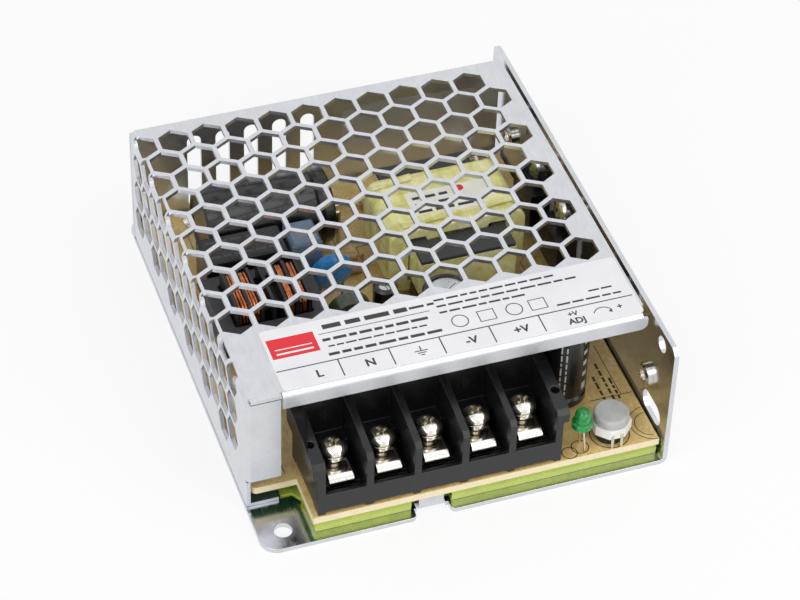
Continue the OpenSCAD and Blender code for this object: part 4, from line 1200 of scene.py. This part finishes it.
def make_trimmer_details():
    """Black solid under the trimmer, painted shade in the gap below its body, and the two tin legs that show
    at its front.
    """
    top = box_mm("trimmer_base")[1].z
    at = middle("trimmer_knob")
    foot, painted_shade_top = BOARD_TOP + 0.02, top - 1.6
    # Painted shade: a black solid, narrower than the body, fills the gap between the board and the trimmer's
    # body
    bm = bmesh.new()
    profile = [(0, foot), (3.0, foot), (3.1, foot + 0.28), (3.1, painted_shade_top), (0, painted_shade_top)]
    add_lathe(bm, profile, (at.x, at.y), 32)
    piece = new_piece("trimmer_foot", mesh_from(bm, "trimmer_foot", 40), finishes["black_gloss"])
    bm = bmesh.new()
    for x in (at.x - 1.0, at.x + 0.9):
        add_box(bm, (x - 0.3, at.y - 3.95, BOARD_TOP - 0.4), (x + 0.3, at.y - 3.7, top - 0.9), 0.05, 1)
    piece = new_piece("trimmer_legs", mesh_from(bm, "trimmer_legs", 40), finishes["tin"])


# ---- Capacitors and other mains parts ----


class SUPPLY_OT_mains_parts(bpy.types.Operator):
    """Capacitors, fuse, thermistor and rectifier on the mains side"""

    bl_idname = "supply.mains_parts"
    bl_label = "Mains side parts"

    def execute(self, context):
        dress("bulk_capacitor", finishes["sleeve"])
        dress("bulk_capacitor_leads", finishes["tin"])
        softened("mains_capacitor", finishes["dark_case"], 0.3, segments=3)
        softened("film_capacitor", finishes["blue_case"], 0.3, segments=3)
        dress("disc_capacitor", finishes["blue"])
        dress("fuse", finishes["ceramic"])
        dress("fuse_leads", finishes["tin"])
        dress("thermistor", finishes["olive"])
        softened("bridge_rectifier", finishes["dark_case"], 0.2)
        print_capacitors()
        return {"FINISHED"}


def print_capacitors():
    """Rows of plain bars on the sleeves and cases."""
    random.seed(5)
    low, high = box_mm("bulk_capacitor")
    axis = ((low.y + high.y) / 2, (low.z + high.z) / 2)
    radius = (high.z - low.z) / 2 + 0.01
    bm = bmesh.new()
    for turn in (44, 60, 118):
        at = low.x + 3.5
        while at < high.x - 6:
            word = random.uniform(0.9, 2.6)
            wrap_bar(bm, at, at + word, axis, radius, turn, turn + 4)
            at += word + 0.7
    wrap_bar(bm, low.x + 1.0, high.x - 4, axis, radius, 88, 89.5)
    new_ink("bulk_capacitor_print", bm, "print_faint", "bulk_capacitor")
    bm = bmesh.new()
    low, high = box_mm("mains_capacitor")
    print_words(bm, low.x + 1.5, high.y - 2.4, 11, 1.2, high.z)
    print_words(bm, low.x + 1.5, low.y + 1.2, 13, 1.0, high.z)
    new_ink("mains_capacitor_print", bm, "print_faint", "mains_capacitor")


def curved_bar(bm, place, radius, turns, ends, steps):
    """A printed bar on a round can; place gives the point at a radius, a turn and an end."""
    outer = radius + BOARD_INK
    corners = ((radius, ends[0]), (outer, ends[0]), (outer, ends[1]), (radius, ends[1]))
    loops = []
    for i in range(steps + 1):
        turn = math.radians(turns[0] + (turns[1] - turns[0]) * i / steps)
        loops.append([bm.verts.new(place(r, turn, end)) for r, end in corners])
    add_skin(bm, loops)


def wrap_bar(bm, x0, x1, axis, radius, turn0, turn1):
    """A printed bar that wraps a cylinder along X between two angles above the front."""
    def place(r, turn, x):
        return x, axis[0] - r * math.cos(turn), axis[1] + r * math.sin(turn)
    curved_bar(bm, place, radius, (turn0, turn1), (x0, x1), 4)


# ---- Windings, made by Geometry Nodes ----


def start_winding(name, settings):
    """A node tree with named inputs; returns the tree and the outputs of its input node."""
    tree = bpy.data.node_groups.new(name, "GeometryNodeTree")
    face = tree.interface
    face.new_socket("Geometry", in_out="INPUT", socket_type="NodeSocketGeometry")
    for label, value in settings.items():
        kind = "NodeSocketInt" if isinstance(value, int) else "NodeSocketFloat"
        socket = face.new_socket(label, in_out="INPUT", socket_type=kind)
        socket.default_value = value
    face.new_socket("Wire", in_out="INPUT", socket_type="NodeSocketMaterial")
    face.new_socket("Geometry", in_out="OUTPUT", socket_type="NodeSocketGeometry")
    return tree, add(tree, "NodeGroupInput").outputs


def wire_loop(tree, given, width, height, tilt, corner, steps):
    """One turn of wire: a rectangle with rounded corners, stood up by tilt and swept by the wire."""
    loop = add(tree, "GeometryNodeCurvePrimitiveQuadrilateral", {"Width": width, "Height": height})
    stood = add(tree, "GeometryNodeTransform", {"Geometry": loop.outputs[0], "Rotation": tilt})
    rounded = add(tree, "GeometryNodeFilletCurve", {
        "Curve": stood.outputs[0], "Radius": corner, "Limit Radius": True, "Count": steps}, mode="POLY")
    half = combine(tree, "MULTIPLY", given["Wire diameter"], 0.5)
    section = add(tree, "GeometryNodeCurvePrimitiveCircle", {"Resolution": 9, "Radius": half})
    swept = add(tree, "GeometryNodeCurveToMesh", {
        "Curve": rounded.outputs[0], "Profile Curve": section.outputs[0]})
    return swept.outputs[0]


def lay_turns(tree, given, points, wire, rotation):
    """Puts a turn of wire on every point, makes the copies real and gives them the wire's material."""
    placed = add(tree, "GeometryNodeInstanceOnPoints", {
        "Points": points, "Instance": wire, "Rotation": rotation})
    real = add(tree, "GeometryNodeRealizeInstances", {"Geometry": placed.outputs[0]})
    shaded = add(tree, "GeometryNodeSetShadeSmooth", {"Geometry": real.outputs[0]})
    finished = add(tree, "GeometryNodeSetMaterial", {
        "Geometry": shaded.outputs[0], "Material": given["Wire"]})
    add(tree, "NodeGroupOutput", {"Geometry": finished.outputs[0]})


def winding_tree(name):
    """Node tree: turns of wire laid side by side along X."""
    tree, given = start_winding(name, {
        "Turns": 3, "Pitch": 0.6, "Width": 12.0, "Height": 14.0, "Corner radius": 1.5,
        "Wire diameter": 0.58, "Seed": 3})
    wire = wire_loop(tree, given, given["Height"], given["Width"], (0, math.pi / 2, 0),
                     given["Corner radius"], 5)
    step = add(tree, "ShaderNodeCombineXYZ", {"X": given["Pitch"]})
    row = add(tree, "GeometryNodeMeshLine", {
        "Count": given["Turns"], "Offset": step.outputs[0]}, mode="OFFSET")
    lean = add(tree, "FunctionNodeRandomValue", {
        "Min": (-0.02, -0.03, -0.03), "Max": (0.02, 0.03, 0.03), "Seed": given["Seed"],
    }, data_type="FLOAT_VECTOR")
    lay_turns(tree, given, row.outputs[0], wire, lean.outputs[0])
    return tree


def ring_winding_tree(name):
    """Node tree: turns of wire spread round a ring core."""
    tree, given = start_winding(name, {
        "Turns": 17, "Ring radius": 4.0, "Width": 3.6, "Height": 5.8, "Wire diameter": 0.8})
    wire = wire_loop(tree, given, given["Width"], given["Height"], (math.pi / 2, 0, 0), 0.9, 4)
    ring = add(tree, "GeometryNodeMeshCircle", {"Vertices": given["Turns"], "Radius": given["Ring radius"]})
    outward = add(tree, "GeometryNodeInputPosition").outputs[0]
    facing = add(tree, "FunctionNodeAlignRotationToVector", {"Vector": outward}, axis="X")
    lay_turns(tree, given, ring.outputs[0], wire, facing.outputs[0])
    return tree


def grown_mesh(tree, name, place, **inputs):
    """Runs a node tree; gives a plain mesh in metres, moved to a place in millimetres."""
    seed = bpy.data.meshes.new(name)
    holder = new_holder(name, seed)
    modifier = holder.modifiers.new("grow", "NODES")
    modifier.node_group = tree
    for item in tree.interface.items_tree:
        key = item.name.replace(" ", "_")
        if item.in_out == "INPUT" and key in inputs:
            modifier[item.identifier] = inputs[key]
    mesh = plain_mesh(holder)
    bpy.data.objects.remove(holder)
    bpy.data.meshes.remove(seed)
    if not mesh.vertices:
        raise RuntimeError("the node tree of " + name + " made nothing")
    mesh.transform(Matrix.Scale(MM, 4) @ Matrix.Translation(place))
    return mesh


class SUPPLY_OT_chokes(bpy.types.Operator):
    """Line choke and output choke with real turns of wire"""

    bl_idname = "supply.chokes"
    bl_label = "Chokes"

    def execute(self, context):
        sizes = context.scene.supply_sizes
        softened("choke_core", finishes["ferrite"], 0.25)
        softened("choke_bobbin", finishes["black_gloss"], 0.1)
        wind_line_choke(sizes.line_wire)
        softened("output_choke_core", finishes["iron_powder"], 0.3, segments=3)
        wind_output_choke(sizes.output_wire, sizes.output_turns)
        return {"FINISHED"}


def wind_line_choke(wire):
    """Four wound sections on the middle leg, each of three layers that shrink inwards."""
    low, high = box_mm("choke_windings")
    centre = (low + high) / 2
    # Six sections side by side, whose two in the middle stay bare
    step = (high.x - low.x + 0.8) / 6
    turns, layers = 3, 3
    pitch = (step - 0.85 - wire) / (turns - 1)
    tree = winding_tree("line choke turns")
    whole = bmesh.new()
    for number, section in enumerate((0, 1, 4, 5)):
        start = low.x + section * step + wire / 2
        for layer in range(layers):
            shrink = 2 * layer * wire * 0.9
            mesh = grown_mesh(
                tree, "turns", (start, centre.y, centre.z), Turns=turns, Pitch=pitch,
                Width=high.y - low.y - wire - shrink, Height=high.z - low.z - wire - shrink,
                Corner_radius=1.9 - 0.3 * layer, Wire_diameter=wire, Seed=number * layers + layer,
                Wire=finishes["copper"])
            whole.from_mesh(mesh)
            bpy.data.meshes.remove(mesh)
    mesh = bpy.data.meshes.new("line_choke_wire")
    whole.to_mesh(mesh)
    whole.free()
    mesh.shade_smooth()
    piece = new_piece("line_choke_wire", mesh, finishes["copper"])
    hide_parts("choke_windings")


def wind_output_choke(wire, turns):
    """One layer of thick wire round the ring core."""
    low, high = box_mm("output_choke_core")
    outer = (high.x - low.x) / 2
    hole = 2.6
    room = wire + 0.1
    mesh = grown_mesh(
        ring_winding_tree("output choke turns"), "output_choke_wire", tuple((low + high) / 2), Turns=turns,
        Ring_radius=(outer + hole) / 2, Width=outer - hole + room, Height=high.z - low.z + room,
        Wire_diameter=wire, Wire=finishes["copper"])
    piece = new_piece("output_choke_wire", mesh, finishes["copper"])
    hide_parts("output_choke_winding")


# ---- Transformer and output side ----


class SUPPLY_OT_transformer(bpy.types.Operator):
    """Transformer with its tape and tag"""

    bl_idname = "supply.transformer"
    bl_label = "Transformer"

    def execute(self, context):
        softened("transformer_core", finishes["ferrite"], 0.3)
        softened("transformer_winding", finishes["tape"], 0.35, segments=3)
        softened("transformer_bobbin", finishes["black_gloss"], 0.15)
        make_core_tape()
        make_tape_flaps()
        make_transformer_tag()
        return {"FINISHED"}


def make_core_tape():
    """Band of tape round the core's outer sides, which holds its halves together."""
    low, high = box_mm("transformer_core")
    bm = bmesh.new()
    bottom, top = low.z + 1.2, high.z - 0.8
    loops = []
    for grow, z in ((0.02, bottom), (0.02, top), (0.12, top), (0.12, bottom)):
        x0, y0, x1, y1 = low.x - grow, low.y - grow, high.x + grow, high.y + grow
        loops.append([bm.verts.new((x, y, z)) for x, y in ((x0, y0), (x1, y0), (x1, y1), (x0, y1))])
    add_skin(bm, loops + loops[:1], closed_ends=False)
    piece = new_piece("core_tape", mesh_from(bm, "core_tape", 30), finishes["tape"])
    add_bevel(piece, "soft folds", 0.35, 3, 60).use_clamp_overlap = True


def make_tape_flaps():
    """Loose ends of tape that lift off the winding at its sides."""
    low, high = box_mm("transformer_winding")
    flaps = (
        ((low.x + 1.0, high.y - 3.0), (low.x + 9.5, high.y - 1.2), 0.5, 1.3),
        ((high.x - 9.0, low.y + 2.0), (high.x - 1.4, low.y + 5.0), 0.4, 1.0),
        ((low.x + 3.0, low.y + 1.0), (low.x + 12.0, low.y + 3.4), 0.35, 0.9),
    )
    bm = bmesh.new()
    for (x0, y0), (x1, y1), lift, wave in flaps:
        across, along = 10, 5
        sheets = []
        for thickness in (0.0, 0.06):
            grid = []
            for i in range(across + 1):
                s = i / across
                row = []
                for k in range(along + 1):
                    t = k / along
                    z = high.z + 0.1 + lift * s * s + 0.12 * wave * math.sin(5 * t + 4 * s)
                    x = x0 + (x1 - x0) * s
                    y = y0 + (y1 - y0) * t + 0.5 * s
                    row.append(bm.verts.new((x, y, z + thickness)))
                grid.append(row)
            sheets.append(grid)
        under, over = sheets
        for i in range(across):
            for k in range(along):
                bm.faces.new((over[i][k], over[i + 1][k], over[i + 1][k + 1], over[i][k + 1]))
                bm.faces.new((under[i][k + 1], under[i + 1][k + 1], under[i + 1][k], under[i][k]))
        for i in range(across):
            bm.faces.new((under[i][0], under[i + 1][0], over[i + 1][0], over[i][0]))
            bm.faces.new((over[i][along], over[i + 1][along], under[i + 1][along], under[i][along]))
        for k in range(along):
            bm.faces.new((over[0][k], over[0][k + 1], under[0][k + 1], under[0][k]))
            bm.faces.new((under[across][k], under[across][k + 1], over[across][k + 1], over[across][k]))
    piece = new_piece("tape_ends", mesh_from(bm, "tape_ends", 50), finishes["tape"])


def make_transformer_tag():
    """Paper tag with plain bars and an inspection dot."""
    dress("transformer_label", finishes["paper"])
    low, high = box_mm("transformer_label")
    z = high.z
    random.seed(3)
    bm = bmesh.new()
    for i in range(3):
        print_words(bm, low.x + 1.2, low.y + 1.0 + 2.1 * i, 13.5 - 3 * i, 1.3, z)
    new_ink("transformer_tag_print", bm, "print_black", "transformer_label")
    bm = bmesh.new()
    add_lathe(bm, [(0, z), (0.9, z), (0.85, z + 0.05), (0, z + 0.06)], (low.x + 11.5, high.y - 1.2), 24)
    new_ink("inspection_dot", bm, "print_red", "transformer_label")


class SUPPLY_OT_output_parts(bpy.types.Operator):
    """Output capacitors, power devices and the small parts"""

    bl_idname = "supply.output_parts"
    bl_label = "Output side parts"

    def execute(self, context):
        dress("output_capacitors", finishes["sleeve"])
        dress("control_capacitor", finishes["sleeve"])
        make_can_tops()
        print_output_capacitor()
        softened("power_devices", finishes["dark_case"], 0.15)
        dress("heat_pads", finishes["pad"])
        dress("device_screws", finishes["nickel"])
        softened("optocoupler", finishes["dark_case"], 0.15)
        softened("control_chip", finishes["dark_case"], 0.1)
        dress("resistors", finishes["tan_coat"])
        dress("jumper_wires", finishes["tin"])
        dress("barrier_film", finishes["clear"])
        return {"FINISHED"}


def cans():
    """Centre, radius and top of each upright capacitor."""
    low, high = box_mm("output_capacitors")
    radius, front_height, rear_height = 5.0, 20.0, 15.0
    small_low, small_high = box_mm("control_capacitor")
    small = middle("control_capacitor")
    return (
        ((high.x - radius, low.y + radius), radius, BOARD_TOP + front_height),
        ((low.x + radius, high.y - radius), radius, BOARD_TOP + rear_height),
        ((small.x, small.y), (small_high.x - small_low.x) / 2, small_high.z),
    )


def make_can_tops():
    """Bare aluminium tops, each with three vent scores that meet in its middle; the scores are drawn as thin
    black strokes on the flat top, painted shade in place of grooves.
    """
    bm = bmesh.new()
    for centre, radius, top in cans():
        floor = top - 0.3
        rim = radius - 1.2
        profile = [(0, floor - 0.02), (rim, floor - 0.02), (rim, floor + 0.01), (rim - 0.15, floor + 0.06),
                   (0, floor + 0.06)]
        disc = bmesh.new()
        add_lathe(disc, profile, centre)
        join_into(bm, disc)
    piece = new_piece("capacitor_tops", mesh_from(bm, "capacitor_tops", outward=False), finishes["aluminium"])
    # Painted shade: the recessed vent grooves are drawn as raised black strokes in a black moulding material
    vent_shade_strokes = bmesh.new()
    for centre, radius, top in cans():
        for turn in (35, 155, 275):
            end = around(centre, radius * 0.55, math.radians(turn))
            add_stroke(vent_shade_strokes, centre, end, 0.16, top - 0.24, 0.012)
    piece = new_piece("capacitor_vents", mesh_from(vent_shade_strokes, "capacitor_vents"), finishes["black_gloss"])


def print_output_capacitor():
    """Columns of plain bars and the minus stripe on the front output capacitor."""
    centre, radius, top = cans()[0]
    random.seed(9)
    bm = bmesh.new()
    for turn, width, gap in ((-118, 3.5, 0.5), (-106, 3.5, 0.5), (-60, 14, 1.8)):
        at = BOARD_TOP + 4.0
        while at < top - 3.0:
            word = random.uniform(0.8, 2.2)
            stand_bar(bm, centre, radius + 0.01, turn, turn + width, at, at + word)
            at += word + gap
    new_ink("output_capacitor_print", bm, "print_white", "output_capacitors")


def stand_bar(bm, centre, radius, turn0, turn1, z0, z1):
    """A printed bar that wraps an upright cylinder between two angles."""
    def place(r, turn, z):
        return (*around(centre, r, turn), z)
    curved_bar(bm, place, radius, (turn0, turn1), (z0, z1), 3)


# ---- Panel and running ----

OPERATORS = (
    SUPPLY_OT_stage, SUPPLY_OT_case, SUPPLY_OT_cover, SUPPLY_OT_label, SUPPLY_OT_board,
    SUPPLY_OT_terminals, SUPPLY_OT_controls, SUPPLY_OT_mains_parts, SUPPLY_OT_chokes,
    SUPPLY_OT_transformer, SUPPLY_OT_output_parts,
)


class SUPPLY_PT_panel(bpy.types.Panel):
    """Lists the settings and the steps that dress the power supply"""

    bl_idname = "SUPPLY_PT_panel"
    bl_label = "Power supply"
    bl_space_type = "VIEW_3D"
    bl_region_type = "UI"
    bl_category = "Power supply"

    def draw(self, context):
        for group in (context.scene.supply_look, context.scene.supply_sizes):
            for key in group.__annotations__:
                self.layout.prop(group, key)
        for operator in OPERATORS:
            self.layout.operator(operator.bl_idname)


CLASSES = (SupplyLook, SupplySizes, *OPERATORS, SUPPLY_PT_panel)


def register():
    for made in CLASSES:
        bpy.utils.register_class(made)
    bpy.types.Scene.supply_look = bpy.props.PointerProperty(type=SupplyLook)
    bpy.types.Scene.supply_sizes = bpy.props.PointerProperty(type=SupplySizes)


def unregister():
    del bpy.types.Scene.supply_sizes
    del bpy.types.Scene.supply_look
    for made in reversed(CLASSES):
        bpy.utils.unregister_class(made)


def main():
    """Registers the add-on and runs every step in order."""
    register()
    make_finishes()
    for operator in OPERATORS:
        group, name = operator.bl_idname.split(".")
        if getattr(getattr(bpy.ops, group), name)() != {"FINISHED"}:
            raise RuntimeError(operator.bl_label + " did not finish")


if __name__ == "__main__":
    main()
